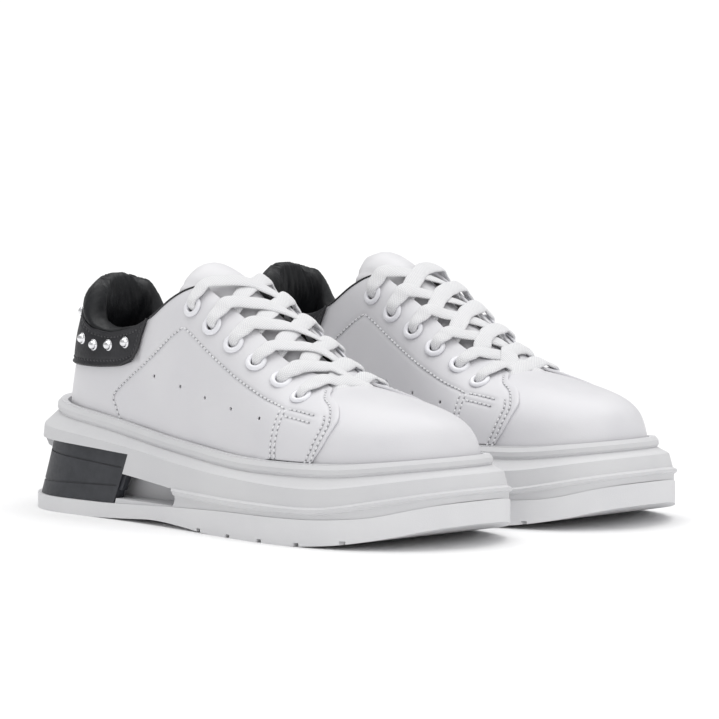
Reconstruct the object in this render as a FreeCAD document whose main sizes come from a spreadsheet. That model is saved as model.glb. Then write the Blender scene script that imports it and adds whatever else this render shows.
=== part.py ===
import FreeCAD, Part
import math
import os

from FreeCAD import Placement, Rotation, Vector

# A pair of low lace-up sneakers on a thick platform sole. Each shoe is drawn in its own
# frame: x runs forward from the back of the sole, y is 0 on its middle line, negative
# outward (lateral) and positive inward (medial), z is up from the ground. The left shoe
# is the right one mirrored. The pair stands side by side with its middle at the origin.

doc = FreeCAD.newDocument("cheer_shoes")
sizes = doc.addObject("Spreadsheet::Sheet", "Sizes")
SIZES = {
    "sole_length": 285.0,
    "pair_spacing": 115.0,
    "toe_out": 1.0,
    "blank_height": 95.0,
    "bead_inset": 10.5,
    "cup_depth": 5.0,
    "cup_inset": 12.6,
    "upper_inset": 12.8,
    "heel_draw": 5.0,
    "heel_join": 55.0,
    "leather": 1.4,
    "tab_leather": 1.2,
    "ply_gap": 0.2,
    "lining_ply": 0.9,
    "quarter_lap": 1.6,
    "notch_width": 3.0,
    "notch_depth": 1.6,
    "clip_thickness": 5.0,
    "clip_reach": 90.0,
    "pocket_reach": 132.0,
    "pocket_floor": 10.2,
    "pocket_depth": 15.0,
    "board_inset": 19.5,
    "board_thickness": 1.6,
    "insole_inset": 21.5,
    "insole_heel_draw": 9.5,
    "insole_thickness": 4.0,
    "shank_width": 14.0,
    "shank_thickness": 1.2,
    "eyelet_radius": 5.2,
    "eyelet_barrel": 3.2,
    "eyelet_bore": 2.6,
    "eyelet_flange": 0.9,
    "eyelet_depth": 2.9,
    "stud_radius": 2.8,
    "stud_height": 2.9,
    "perforation": 0.9,
    "pad_low": 2.0,
    "pad_high": 7.5,
    "tongue_thickness": 6.0,
    "lace_width": 7.0,
    "lace_thickness": 1.3,
}
for row_number, (alias, value) in enumerate(SIZES.items(), start=1):
    sizes.set("A%d" % row_number, alias)
    sizes.set("B%d" % row_number, str(value))
    sizes.setAlias("B%d" % row_number, alias)
doc.recompute()


def size(alias):
    return float(sizes.get(alias))


LENGTH = size("sole_length")
JOIN = size("heel_join")
BACK = -90.0
HEEL_ROUND = 2 / 2.25
LATERAL, MEDIAL = -1, 1
SIDES = {LATERAL: "lateral", MEDIAL: "medial"}
SHOES = {"right": 1, "left": -1}


# ---------------------------------------------------------------- curves and stations

def through(*points):
    """A smooth function z(x) through a few points that never overshoots them."""
    xs = [p[0] for p in points]
    zs = [p[1] for p in points]
    rise = [(zs[i + 1] - zs[i]) / (xs[i + 1] - xs[i]) for i in range(len(xs) - 1)]
    slope = [rise[0]]
    for before, after in zip(rise, rise[1:]):
        slope.append(0.0 if before * after <= 0 else 2 * before * after / (before + after))
    slope.append(rise[-1])

    def value(x):
        x = min(max(x, xs[0]), xs[-1])
        k = max(i for i in range(len(xs) - 1) if xs[i] <= x) if x > xs[0] else 0
        width = xs[k + 1] - xs[k]
        f = (x - xs[k]) / width
        return ((1 + 2 * f) * (1 - f) ** 2 * zs[k] + f * (1 - f) ** 2 * width * slope[k]
                + f * f * (3 - 2 * f) * zs[k + 1] + f * f * (f - 1) * width * slope[k + 1])
    return value


# plan outline of the sole at its widest, from the heel round the lateral side and back
OUTLINE = [(0, 0), (6, -20), (24, -35), (60, -40), (100, -42), (140, -47), (178, -53), (208, -55.5),
           (238, -52), (262, -41), (279, -21), (285, 2), (280, 25), (264, 42.5), (240, 51.5),
           (210, 54), (178, 51), (140, 42.5), (100, 37), (60, 36), (24, 31.5), (6, 18)]
outline_curve = Part.BSplineCurve()
outline_curve.interpolate(Points=[Vector(x, y, 0) for x, y in OUTLINE], PeriodicFlag=True)
RING_POINTS = 44

ground_line = through((0, 3.0), (16, 0), (62, 0), (92, 1.2), (115, 2.5), (140, 1.4), (162, 0),
                      (216, 0), (240, 1.5), (262, 5.0), (285, 11.5))
outsole_top = through((0, 7.2), (70, 7.4), (100, 8.5), (130, 10.0), (180, 12.0), (225, 12.6),
                      (255, 14.5), (285, 22.0))
bead_top = through((0, 55.5), (60, 48.5), (120, 40.5), (180, 36.6), (230, 37.3), (285, 42.0))
heel_back = through((40, 19.4), (50, 20.0), (62, 22.5), (75, 26.5), (84, 29.5), (96, 34.6), (104, 36.5),
                    (113, 36.0))
ridge_line = through((40, 117.0), (112, 117.0), (125, 115.5), (150, 101.0), (175, 85.0), (198, 70.5),
                     (212, 68.3), (231, 65.4), (250, 61.5), (260, 58.0), (268, 52.5), (274, 42.0))
side_power = through((112, 3.2), (125, 3.2), (198, 2.2), (240, 2.2), (274, 2.2))
roof_power = through((95, 14.0), (112, 10.0), (125, 5.8), (198, 2.5), (240, 2.3), (274, 2.2))
rim_line = through((55, 88.6), (66, 87.4), (80, 89.6), (90, 93.0), (98, 97.0), (112, 106.5),
                   (120, 111.2), (125, 112.5), (131, 110.0), (150, 98.8), (201, 68.9), (212, 66.5))
rim_heel = through((-90, 100.0), (-60, 99.4), (-35, 96.0), (-15, 91.6), (0, 88.6))


def outline_point(share, inset=0.0, heel_inset=0.0):
    """Point on the sole outline, drawn in by inset, and by heel_inset more at the heel."""
    first, last = outline_curve.FirstParameter, outline_curve.LastParameter
    knot = first + (share % 1.0) * (last - first)
    point = outline_curve.value(knot)
    tangent = outline_curve.tangent(knot)[0]
    draw = inset + heel_inset * max(0.0, 1 - point.x / 45.0) ** 1.5
    return Vector(point.x - tangent.y * draw, point.y + tangent.x * draw, 0)


def share_at(x, side):
    """Share of the way round the outline where one side passes the given x."""
    low, high = (0.02, 0.5) if side == LATERAL else (0.98, 0.5)
    for _ in range(40):
        middle = (low + high) / 2
        if outline_point(middle).x < x:
            low = middle
        else:
            high = middle
    return (low + high) / 2


def side_table(side):
    """Half width of the upper at its foot against x, sampled along one side."""
    samples = []
    for step in range(241):
        share = 0.5 * step / 240 if side == LATERAL else 1 - 0.5 * step / 240
        point = outline_point(share, size("upper_inset"))
        samples.append((point.x, max(0.0, side * point.y)))
    return sorted(samples)


HALF_WIDTHS = {side: side_table(side) for side in SIDES}


def half_width(x, side):
    table = HALF_WIDTHS[side]
    if x >= table[-1][0]:
        return 0.0
    k = max(i for i in range(len(table)) if table[i][0] <= x)
    (x0, w0), (x1, w1) = table[k], table[k + 1]
    return w0 + (w1 - w0) * (x - x0) / max(x1 - x0, 1e-9)


def foot_line(x):
    """Height of the foot bed, where the upper meets the sole inside its bead."""
    return bead_top(x) - size("cup_depth")


def side_y(x, z, side):
    """Half width of the upper at a height, on its rounded cross section at x."""
    foot = foot_line(x)
    rise = min(1.0, max(0.0, (z - foot) / (ridge_line(x) - foot)))
    wide = half_width(x, side) * (1 - rise ** roof_power(x)) ** (1 / side_power(x))
    tuck = 0.8 * max(0.0, 1 - (z - foot) / 7.0) ** 2
    return wide - tuck


def dome_height(x, y):
    """Height of the upper's surface over a plan position in front of the throat."""
    side = MEDIAL if y > 0 else LATERAL
    wide = half_width(x, side)
    out = min(1.0, abs(y) / wide) if wide > 0 else 1.0
    foot = foot_line(x)
    return foot + (ridge_line(x) - foot) * (1 - out ** side_power(x)) ** (1 / roof_power(x))


def station_x(station, z):
    """How far forward a station lies at a height."""
    if station >= 0:
        return JOIN + station
    angle = math.radians(90 + station)
    return JOIN - (JOIN - heel_back(z)) * math.cos(angle) ** HEEL_ROUND


def upper_point(station, z, side):
    """Point on the upper: stations -90 to 0 turn round the heel, above 0 they are x - join."""
    x = station_x(station, z)
    if station >= 0:
        return Vector(x, side * side_y(x, z, side), z)
    y = side_y(JOIN, z, side) * math.sin(math.radians(90 + station)) ** HEEL_ROUND
    return Vector(x, side * y, z)


def upper_foot(station):
    return foot_line(station_x(station, 50.0))


def upper_rim(station):
    return rim_line(JOIN + station) if station >= 0 else rim_heel(station)


def upper_offset(station, z, side, offset):
    """Point on the upper moved outward by offset, square to its surface."""
    along = upper_point(station + 0.4, z, side) - upper_point(max(station - 0.4, BACK), z, side)
    up = upper_point(station, z + 0.4, side) - upper_point(station, z - 0.4, side)
    if station <= BACK + 0.5:
        along = Vector(0, side, 0)
    normal = along.cross(up) * -side
    normal.normalize()
    return upper_point(station, z, side) + normal * offset


# ---------------------------------------------------------------- solids from point grids

def skin(grid):
    surface = Part.BSplineSurface()
    surface.interpolate(grid)
    return surface


def grid_solid(outer_grid, inner_grid):
    """Closed thin solid between two grids of points with the same number of rows."""
    outer, inner = skin(outer_grid), skin(inner_grid)
    u0, u1, v0, v1 = outer.bounds()
    p0, p1, q0, q1 = inner.bounds()
    faces = [outer.toShape(), inner.toShape()]
    for outer_edge, inner_edge in ((outer.uIso(u0), inner.uIso(p0)), (outer.uIso(u1), inner.uIso(p1)),
                                   (outer.vIso(v0), inner.vIso(q0)), (outer.vIso(v1), inner.vIso(q1))):
        faces.append(Part.makeRuledSurface(outer_edge.toShape(), inner_edge.toShape()))
    return closed_solid(faces)


def closed_solid(faces):
    shell = Part.makeShell(faces)
    shell.sewShape()
    solid = Part.Solid(shell)
    if solid.Volume < 0:
        solid.reverse()
    return solid


def spread(first, last, count):
    return [first + (last - first) * i / (count - 1) for i in range(count)]


def resample(points, count):
    """Evenly spaced points along a chain of points, both ends kept."""
    reach = [0.0]
    for a, b in zip(points, points[1:]):
        reach.append(reach[-1] + (b - a).Length)
    spaced = []
    for target in spread(0.0, reach[-1], count):
        k = max(i for i in range(len(points) - 1) if reach[i] <= target + 1e-9)
        share = (target - reach[k]) / (reach[k + 1] - reach[k])
        spaced.append(points[k] + (points[k + 1] - points[k]) * share)
    return spaced


DENSE = 40


def panel(columns, low, high, outside, thickness, rows):
    """Leather panel on the upper.

    Each column is a function of the rise (0 foot edge, 1 top edge) that gives a side and a
    station; low and high are the heights of its two edges at a station.
    """
    grids = ([], [])
    for column in columns:
        for grid, depth in zip(grids, (0.0, thickness)):
            chain = []
            for rise in spread(0.0, 1.0, DENSE):
                side, station = column(rise)
                z = low(station) + rise * (high(station) - low(station))
                chain.append(upper_offset(station, z, side, outside(station) - depth))
            grid.append(resample(chain, rows))
    return grid_solid(*grids)


# ---------------------------------------------------------------- document helpers

def world(name):
    """Where a shoe stands: its own side of the pair, toes turned out a little."""
    sign = SHOES[name]
    middle = Vector(0, -sign * size("pair_spacing") / 2, 0)
    return Placement(middle, Rotation(Vector(0, 0, 1), -sign * size("toe_out")))


def local(name, point):
    """A shoe point in the frame that its placement carries, mirrored for the left shoe."""
    return Vector(point.x - LENGTH / 2, SHOES[name] * point.y, point.z)


def bind_place(item, name):
    item.Placement = world(name)
    sign = "-" if SHOES[name] > 0 else ""
    item.setExpression("Placement.Base.y", sign + "Sizes.pair_spacing / 2")


def feature(name, label, shape):
    """A free-form piece, given in the right shoe's own frame."""
    item = doc.addObject("Part::Feature", name + "_" + label)
    to_middle = FreeCAD.Matrix()
    to_middle.move(Vector(-LENGTH / 2, 0, 0))
    shape = shape.transformed(to_middle, True)
    if SHOES[name] < 0:
        shape = shape.mirror(Vector(0, 0, 0), Vector(0, 1, 0))
    item.Shape = shape
    item.Label = name + "_" + label
    bind_place(item, name)
    return item


def origin_plane(body, role):
    return [plane for plane in body.Origin.OriginFeatures if plane.Role == role][0]


def sketch_on(body, role, name, wires):
    sketch = body.newObject("Sketcher::SketchObject", name)
    sketch.AttachmentSupport = [(origin_plane(body, role), "")]
    sketch.MapMode = "FlatFace"
    for geometry in wires:
        sketch.addGeometry(geometry, False)
    return sketch


def side_region(name, curve, far):
    """Closed side-view region between a height curve and a level line beyond it."""
    xs = spread(-12.0, LENGTH + 12.0, 34)
    points = [Vector(x - LENGTH / 2, curve(x), 0) for x in xs]
    edge = Part.BSplineCurve()
    edge.interpolate(Points=points)
    corners = [points[-1], Vector(points[-1].x, far, 0), Vector(points[0].x, far, 0), points[0]]
    return [edge] + [Part.LineSegment(a, b) for a, b in zip(corners, corners[1:])]


def slab_body(name, label, plan, lower, upper):
    """Plan shape cut from a tall blank and trimmed in side view below and above."""
    body = doc.addObject("PartDesign::Body", name + "_" + label)
    body.Label = name + "_" + label
    plan_sketch = sketch_on(body, "XY_Plane", "Plan", plan)
    blank = body.newObject("PartDesign::Pad", "Blank")
    blank.Profile = plan_sketch
    blank.setExpression("Length", "Sizes.blank_height")
    doc.recompute()
    before = blank.Shape.Volume
    for cut_name, curve, far in (("Above", upper, size("blank_height") + 20), ("Below", lower, -20.0)):
        profile = sketch_on(body, "XZ_Plane", cut_name, side_region(name, curve, far))
        cut = body.newObject("PartDesign::Pocket", "Trim" + cut_name)
        cut.Profile = profile
        cut.Type = "ThroughAll"
        cut.Midplane = True
        doc.recompute()
        if cut.Shape.Volume >= before - 1.0:
            raise RuntimeError(label + ": trim cuts nothing")
        before = cut.Shape.Volume
    bind_place(body, name)
    return body


def plan_ring(name, inset, heel_inset=0.0):
    """Closed plan curve of the sole outline, drawn in."""
    points = [local(name, outline_point(i / RING_POINTS, inset, heel_inset)) for i in range(RING_POINTS)]
    curve = Part.BSplineCurve()
    curve.interpolate(Points=points, PeriodicFlag=True)
    return curve


# ---------------------------------------------------------------- sole

def sole_ring(inset, heel_inset, height):
    """Closed ring round the sole wall; height and inset are numbers or functions of x."""
    points = []
    for i in range(RING_POINTS):
        x = outline_point(i / RING_POINTS).x
        z = height(x) if callable(height) else height
        draw = inset(x) if callable(inset) else inset
        point = outline_point(i / RING_POINTS, draw, heel_inset)
        points.append(Vector(point.x, point.y, z))
    curve = Part.BSplineCurve()
    knots = [i / RING_POINTS for i in range(RING_POINTS + 1)]
    curve.interpolate(Points=points, Parameters=knots, PeriodicFlag=True)
    return Part.Wire([curve.toShape()])


def slab_between(lower, upper):
    """Wide slab between two side-view curves, used to trim the sole."""
    xs = spread(-20.0, LENGTH + 20.0, 36)
    edges = []
    for curve, order in ((lower, 1), (upper, -1)):
        points = [Vector(x, -90, curve(x)) for x in xs][::order]
        line = Part.BSplineCurve()
        line.interpolate(Points=points)
        edges.append((line.toShape(), points))
    ends = [Part.makeLine(edges[0][1][-1], edges[1][1][0]), Part.makeLine(edges[1][1][-1], edges[0][1][0])]
    wire = Part.Wire([edges[0][0], ends[0], edges[1][0], ends[1]])
    return Part.Face(wire).extrude(Vector(0, 180, 0))


wall_top = through((0, 41.0), (40, 38.5), (80, 35.0), (120, 31.0), (160, 28.0), (225, 26.2), (285, 33.5))
wall_foot = through((0, 30.0), (60, 24.0), (100, 19.5), (130, 17.8), (180, 17.2), (225, 17.2), (285, 26.6))
wall_groove = through((0, 28.0), (60, 22.0), (100, 17.5), (130, 15.2), (180, 14.4), (225, 14.6), (285, 24.4))


def fading(forefoot_inset, height):
    """Inset of a moulded line that fades into the plain, slightly leaning wall at the heel."""
    def inset(x):
        share = min(1.0, max(0.0, (x - 104.0) / 34.0))
        share = share * share * (3 - 2 * share)
        plain = 0.6 + 0.085 * (height(x) - 8.0)
        return plain + (forefoot_inset - plain) * share
    return inset


clip_top = through((0, 26.5), (2.5, 27.5), (7.5, 33.8), (12, 34.2), (90, 31.3))


def clip_edge(share, rise):
    """Outline position and height on the heel clip, share 0 lateral front to 1 medial front."""
    reach = size("clip_reach") - 8.0 * (1 - rise)
    start, stop = share_at(reach, LATERAL), share_at(reach, MEDIAL) - 1.0
    around = start + (stop - start) * share
    x = outline_point(around).x
    bottom = outsole_top(x) + 0.15
    z = bottom + rise * (clip_top(x) - bottom)
    return around, z


def clip_point(share, rise, depth, grow=0.0):
    around, z = clip_edge(share, rise)
    z += (2 * rise - 1) * grow
    inset = 1.2 + 3.0 * rise + depth
    return outline_point(around, inset, 1.6 + 7.0 * rise) + Vector(0, 0, z)


def clip_grid(depth, grow=0.0, reach=0.0):
    shares = spread(-reach, 1.0 + reach, 37)
    return [[clip_point(share, rise, depth, grow) for rise in spread(0.0, 1.0, 5)] for share in shares]


GROOVE_DEPTH, GROOVE_RISE = 0.5, 0.035
TAB_LOW, TAB_HIGH, TAB_REACH = 0.26, 0.56, 0.012


def clip_grooves():
    """Two thin engraved lines round the clip, further apart at the back than at the front."""
    for back, front in ((0.17, 0.34), (0.84, 0.70)):
        grids = []
        for depth in (-1.0, GROOVE_DEPTH):
            grid = []
            for share in spread(0.01, 0.99, 25):
                low = back + (front - back) * abs(2 * share - 1)
                grid.append([clip_point(share, low + GROOVE_RISE * rise, depth)
                             for rise in (0, 0.33, 0.66, 1)])
            grids.append(grid)
        yield grid_solid(*grids)


def clip_tab(first, last):
    """Small lug that stands forward of the clip's front edge, over the side window."""
    grids = []
    for depth in (0.9, size("clip_thickness") - 1.0):
        grid = []
        for share in spread(first, last, 4):
            grid.append([clip_point(share, rise, depth) for rise in spread(TAB_LOW, TAB_HIGH, 4)])
        grids.append(grid)
    return grid_solid(*grids)


def make_clip():
    body = grid_solid(clip_grid(0.0), clip_grid(size("clip_thickness")))
    for groove in clip_grooves():
        body = body.cut(groove)
    body = body.fuse(clip_tab(-TAB_REACH, 0.004)).fuse(clip_tab(0.996, 1 + TAB_REACH))
    return max(body.Solids, key=lambda solid: solid.Volume)


def pocket_cutter(side):
    """Shallow window behind the clip's front edge, with a rounded front end."""
    floor, reach = size("pocket_floor"), size("pocket_reach")
    back = size("clip_reach") - 16.0
    corners = [Vector(back, 0, floor), Vector(reach - 3.0, 0, floor), Vector(reach - 0.6, 0, floor + 4.4),
               Vector(reach - 6.0, 0, floor + 8.4), Vector(back, 0, floor + 13.2)]
    bend = Part.Arc(corners[1], corners[2], corners[3]).toShape()
    wire = Part.Wire([Part.makeLine(corners[0], corners[1]), bend, Part.makeLine(corners[3], corners[4]),
                      Part.makeLine(corners[4], corners[0])])
    inner = abs(outline_point(share_at(105.0, side)).y) - size("pocket_depth")
    wire.translate(Vector(0, side * inner, 0))
    return Part.Face(wire).extrude(Vector(0, side * 40.0, 0))


def make_midsole():
    bead = size("bead_inset")
    over_groove = lambda x: wall_groove(x) + 1.0
    over_foot = lambda x: wall_foot(x) + 0.8
    rings = [sole_ring(0.6, 0.0, -6.0), sole_ring(fading(0.9, wall_groove), 0.0, wall_groove),
             sole_ring(fading(-0.5, over_groove), 0.0, over_groove),
             sole_ring(fading(-0.5, wall_foot), 0.2, wall_foot),
             sole_ring(fading(1.4, over_foot), 0.4, over_foot), sole_ring(fading(3.2, wall_top), 0.6, wall_top),
             sole_ring(fading(4.4, wall_top), 1.2, lambda x: wall_top(x) + 0.8),
             sole_ring(bead - 1.6, 4.4, lambda x: bead_top(x) - 6.0),
             sole_ring(bead - 2.4, 3.6, lambda x: bead_top(x) - 4.6),
             sole_ring(bead - 2.2, 3.6, lambda x: bead_top(x) - 2.6),
             sole_ring(bead - 0.4, 4.0, lambda x: bead_top(x) - 0.5),
             sole_ring(bead + 0.6, 4.2, size("blank_height"))]
    body = Part.makeLoft(rings, True, True)
    body = body.common(slab_between(lambda x: outsole_top(x) + 0.06, bead_top))
    cup = Part.Face(sole_ring(size("cup_inset"), size("heel_draw"), 0.0)).extrude(Vector(0, 0, 100))
    cup = cup.common(slab_between(foot_line, lambda x: 100.0))
    body = body.cut(cup)
    outside = clip_grid(-14.0, 0.3, 0.006)
    inside = clip_grid(size("clip_thickness") + 0.1, 0.3, 0.006)
    body = body.cut(grid_solid(outside, inside))
    for side in SIDES:
        body = body.cut(pocket_cutter(side))
    body = body.cut(shank_blank().common(slab_between(lambda x: foot_line(x) - size("shank_thickness") - 0.2,
                                                      lambda x: foot_line(x) + 5.0)))
    return max(body.Solids, key=lambda solid: solid.Volume)


SHANK_START, SHANK_END = 72.0, 152.0


def shank_blank():
    half = size("shank_width") / 2 + 0.1
    return Part.makeBox(SHANK_END - SHANK_START + 0.2, 2 * half, 90.0, Vector(SHANK_START - 0.1, -half - 2.0, 0))


NOTCH_COUNT = 5
NOTCH_START, NOTCH_PITCH = 152.0, 24.0


def tread_notches():
    """Side view of the tread bars' gaps along the forefoot, cut up from the ground."""
    half, deep = size("notch_width") / 2, size("notch_depth")
    lines = []
    for i in range(NOTCH_COUNT):
        x = NOTCH_START + NOTCH_PITCH * i
        top = ground_line(x) + deep
        corners = [(x - half, -5.0), (x + half, -5.0), (x + half, top), (x - half, top)]
        points = [Vector(px - LENGTH / 2, pz, 0) for px, pz in corners]
        lines += [Part.LineSegment(a, b) for a, b in zip(points, points[1:] + points[:1])]
    return lines


def make_outsole(name):
    """Rubber outsole with tread gaps that run in from both edges of the forefoot."""
    body = slab_body(name, "outsole", [plan_ring(name, 0.3)], ground_line, outsole_top)
    for word, sign in (("Left", 1), ("Right", -1)):
        sketch = sketch_on(body, "XZ_Plane", "Notches" + word, tread_notches())
        sketch.AttachmentOffset = Placement(Vector(0, 0, -sign * 40.0), Rotation())
        before = body.Tip.Shape.Volume
        cut = body.newObject("PartDesign::Pocket", "Tread" + word)
        cut.Profile = sketch
        cut.Type = "ThroughAll"
        cut.Reversed = sign < 0
        doc.recompute()
        if not 50 < before - cut.Shape.Volume < 3000:
            raise RuntimeError("tread cut out of range: %.1f" % (before - cut.Shape.Volume))


def make_boards(name):
    """Insole board, removable insole and steel shank, each trimmed to the foot bed's curve."""
    board = size("board_thickness")
    gap = size("ply_gap")
    slab_body(name, "insole_board", [plan_ring(name, size("board_inset"), size("heel_draw"))],
              lambda x: foot_line(x) + gap, lambda x: foot_line(x) + gap + board)
    slab_body(name, "insole", [plan_ring(name, size("insole_inset"), size("insole_heel_draw"))],
              lambda x: foot_line(x) + 2 * gap + board + 0.2,
              lambda x: foot_line(x) + 2 * gap + board + 0.2 + size("insole_thickness"))
    half = size("shank_width") / 2
    corners = [(SHANK_START, -half - 2), (SHANK_END, -half - 2), (SHANK_END, half - 2), (SHANK_START, half - 2)]
    points = [local(name, Vector(x, y, 0)) for x, y in corners]
    lines = [Part.LineSegment(a, b) for a, b in zip(points, points[1:] + points[:1])]
    slab_body(name, "shank", lines, lambda x: foot_line(x) - size("shank_thickness") - 0.05,
              lambda x: foot_line(x) - 0.05)


# ---------------------------------------------------------------- eyelets, studs, perforations

EYELET_COUNT = 6
EYELET_FIRST, EYELET_LAST = (125.3, 102.7), (198.5, 64.1)
STUD_ROW = [(-15.0, 83.5), (1.0, 81.0), (12.0, 81.5), (24.5, 83.5)]
STUD_UPPER = [(-52.0, 95.0)]
PERFORATIONS = [(99.5, 68.6), (120.0, 65.1), (140.5, 61.3), (161.3, 57.7), (182.3, 54.8)]


def lap(station):
    """How far the quarter stands off the last where it laps over the vamp."""
    share = min(1.0, max(0.0, (JOIN + station - 180.0) / 14.0))
    return size("quarter_lap") * share * share * (3 - 2 * share)


def eyelet_spots():
    spots = []
    for side in SIDES:
        for i in range(EYELET_COUNT):
            f = i / (EYELET_COUNT - 1)
            x = EYELET_FIRST[0] + f * (EYELET_LAST[0] - EYELET_FIRST[0])
            z = EYELET_FIRST[1] + f * (EYELET_LAST[1] - EYELET_FIRST[1])
            spots.append((x - JOIN, z, side))
    return spots


def surface_frame(station, z, side, level):
    """Placement with its z axis pointing out of the upper at a spot."""
    foot = upper_offset(station, z, side, level)
    normal = upper_offset(station, z, side, level + 1.0) - foot
    return Placement(foot, Rotation(Vector(0, 0, 1), normal))


def turned_body(label, profile):
    """Small turned piece: a closed half section in the XZ plane revolved about Z."""
    body = doc.addObject("PartDesign::Body", label)
    points = [Vector(r, z, 0) for r, z in profile]
    lines = [Part.LineSegment(a, b) for a, b in zip(points, points[1:] + points[:1])]
    sketch = sketch_on(body, "XZ_Plane", "Half", lines)
    turned = body.newObject("PartDesign::Revolution", "Turned")
    turned.Profile = sketch
    turned.ReferenceAxis = (sketch, ["V_Axis"])
    turned.Angle = 360.0
    doc.recompute()
    return body


def eyelet_profile():
    bore, barrel = size("eyelet_bore"), size("eyelet_barrel")
    rim, flange, depth = size("eyelet_radius"), size("eyelet_flange"), size("eyelet_depth")
    base = 0.3
    return [(bore, -depth), (barrel, -depth), (barrel, base), (rim, base), (rim, base + flange * 0.4),
            (rim - 0.7, base + flange * 0.8), (barrel + 0.3, base + flange), (bore, base + flange * 0.6)]


def stud_profile():
    r, tall = size("stud_radius"), size("stud_height")
    return [(0, 0.2), (r, 0.2), (r, 0.8), (r * 0.8, 1.5), (r * 0.45, tall * 0.85), (0, tall)]


def drill(shape, spots, radius, level):
    """Round holes through a panel at the given spots."""
    for station, z, side in spots:
        frame = surface_frame(station, z, side, level - 7.0)
        tool = Part.makeCylinder(radius, 12.0)
        tool.Placement = frame
        shape = shape.cut(tool)
    return shape


def group_of(name, label, template, frames):
    copies = []
    for frame in frames:
        copy = template.Shape.copy()
        copy.Placement = frame
        copies.append(copy)
    return feature(name, label, Part.makeCompound(copies))


# ---------------------------------------------------------------- upper

front_edge = through((0, 222.0), (0.35, 227.0), (0.6, 228.5), (0.8, 223.5), (1.0, 207.0))
tab_edge = through((0, 86.0), (0.3, 91.0), (0.7, 95.0), (1.0, 98.5))
tab_low = through((-90, 72.5), (-30, 70.6), (0, 70.4), (18, 71.6), (28, 74.2), (43, 80.0))


def heel_columns(count, end):
    """Columns from one side's end, round the heel, to the other side's end."""
    def column(share):
        side = MEDIAL if share > 0 else LATERAL
        return lambda rise: (side, abs(share) * (90 + end(rise) - JOIN) - 90)
    return [column(share) for share in spread(-1.0, 1.0, count)]


def side_columns(side, first, last, count):
    """Columns along one side between two stations; last may follow a slanted edge."""
    def column(share):
        return lambda rise: (side, first + share * (last(rise) - first))
    return [column(share) for share in spread(0.0, 1.0, count)]


def make_quarter(side):
    """Outside leather of one side, from the heel seam to the edge that laps the vamp."""
    columns = side_columns(side, BACK + 0.7, lambda rise: front_edge(rise) - JOIN, 44)
    clear_bead = (size("cup_depth") + 0.2) / size("quarter_lap")
    shape = panel(columns, lambda t: upper_foot(t) + 0.15 + clear_bead * lap(t), upper_rim, lap,
                  size("leather"), 13)
    eyelets = [spot for spot in eyelet_spots() if spot[2] == side]
    shape = drill(shape, eyelets, size("eyelet_barrel") + 0.1, size("quarter_lap"))
    pricks = [(x - JOIN, z, side) for x, z in PERFORATIONS]
    return drill(shape, pricks, size("perforation"), 0.0)


BACKER_END = 186.0


def make_backer(side):
    """Reinforcement strip behind the eyelets, between the quarter and the lining."""
    columns = side_columns(side, 64.0, lambda rise: BACKER_END - JOIN, 16)
    level = -size("leather") - size("ply_gap")
    shape = panel(columns, lambda t: upper_rim(t) - 20.0, lambda t: upper_rim(t) - 0.6,
                  lambda t: lap(t) + level, size("lining_ply"), 8)
    spots = [spot for spot in eyelet_spots() if spot[2] == side and spot[0] < BACKER_END - JOIN]
    return drill(shape, spots, size("eyelet_barrel") + 0.1, 0.0)


def make_quarter_lining(side):
    """Textile lining of the waist, from the collar padding to the vamp lining."""
    columns = side_columns(side, 60.5, lambda rise: BACKER_END - JOIN, 18)
    level = -size("leather") - 2 * size("ply_gap") - size("lining_ply")
    shape = panel(columns, lambda t: upper_foot(t) + 0.4, lambda t: upper_rim(t) - 0.6,
                  lambda t: lap(t) + level, size("lining_ply"), 13)
    spots = [spot for spot in eyelet_spots() if spot[2] == side and spot[0] < BACKER_END - JOIN]
    return drill(shape, spots, size("eyelet_barrel") + 0.1, 0.0)


def vamp_patch(level, thickness, foot, throat, start, columns, rows):
    """Horseshoe patch over the toes, from rho = foot (1 is the feather) in to rho = throat."""
    grids = []
    for depth in (level, level - thickness):
        grid = []
        for share in spread(start, 1 - start, columns):
            chain = [vamp_point(share, foot + (throat - foot) * math.sin(math.pi / 2 * step) ** 2, depth)
                     for step in spread(0.0, 1.0, DENSE)]
            grid.append(resample(chain, rows))
        grids.append(grid)
    return grid_solid(*grids)


def vamp_plan(share, rho):
    first, last = share_at(206.0, LATERAL), share_at(206.0, MEDIAL)
    outer = outline_point(first + (last - first) * share, size("upper_inset"))
    inner = Vector(194.0 + 13.0 * math.sin(math.pi * share), -14.5 * math.cos(math.pi * share), 0)
    return inner + (outer - inner) * rho


def vamp_raw(share, rho):
    plan = vamp_plan(share, min(rho, 0.9995))
    plan.z = dome_height(plan.x, plan.y)
    return plan


def vamp_point(share, rho, offset):
    point = vamp_raw(share, rho)
    along = vamp_raw(share + 0.004, rho) - vamp_raw(share - 0.004, rho)
    inward = vamp_raw(share, max(rho - 0.006, 0.0)) - vamp_raw(share, min(rho + 0.004, 0.9995))
    normal = along.cross(inward)
    normal.normalize()
    if normal.z < 0:
        normal = normal * -1
    return point + normal * offset


def make_vamp():
    shape = vamp_patch(0.0, size("leather"), 0.999, 0.0, 0.0, 29, 13)
    spots = [spot for spot in eyelet_spots() if spot[0] > BACKER_END - JOIN]
    return drill(shape, spots, size("eyelet_barrel") + 0.1, 0.0)


def make_vamp_lining():
    level = -size("leather") - 2 * size("ply_gap") - size("lining_ply")
    return vamp_patch(level, size("lining_ply"), 0.992, 0.42, 0.03, 27, 11)


def make_toe_puff():
    level = -size("leather") - size("ply_gap")
    return vamp_patch(level, size("lining_ply"), 0.975, 0.35, 0.24, 17, 9)


def make_heel_tab():
    """Outer band round the collar, with its lower edge curved up to the rim at each end."""
    thick = size("tab_leather")
    return panel(heel_columns(45, tab_edge), tab_low, lambda t: upper_rim(t) - 0.1,
                 lambda t: size("ply_gap") + thick, thick, 7)


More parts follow.
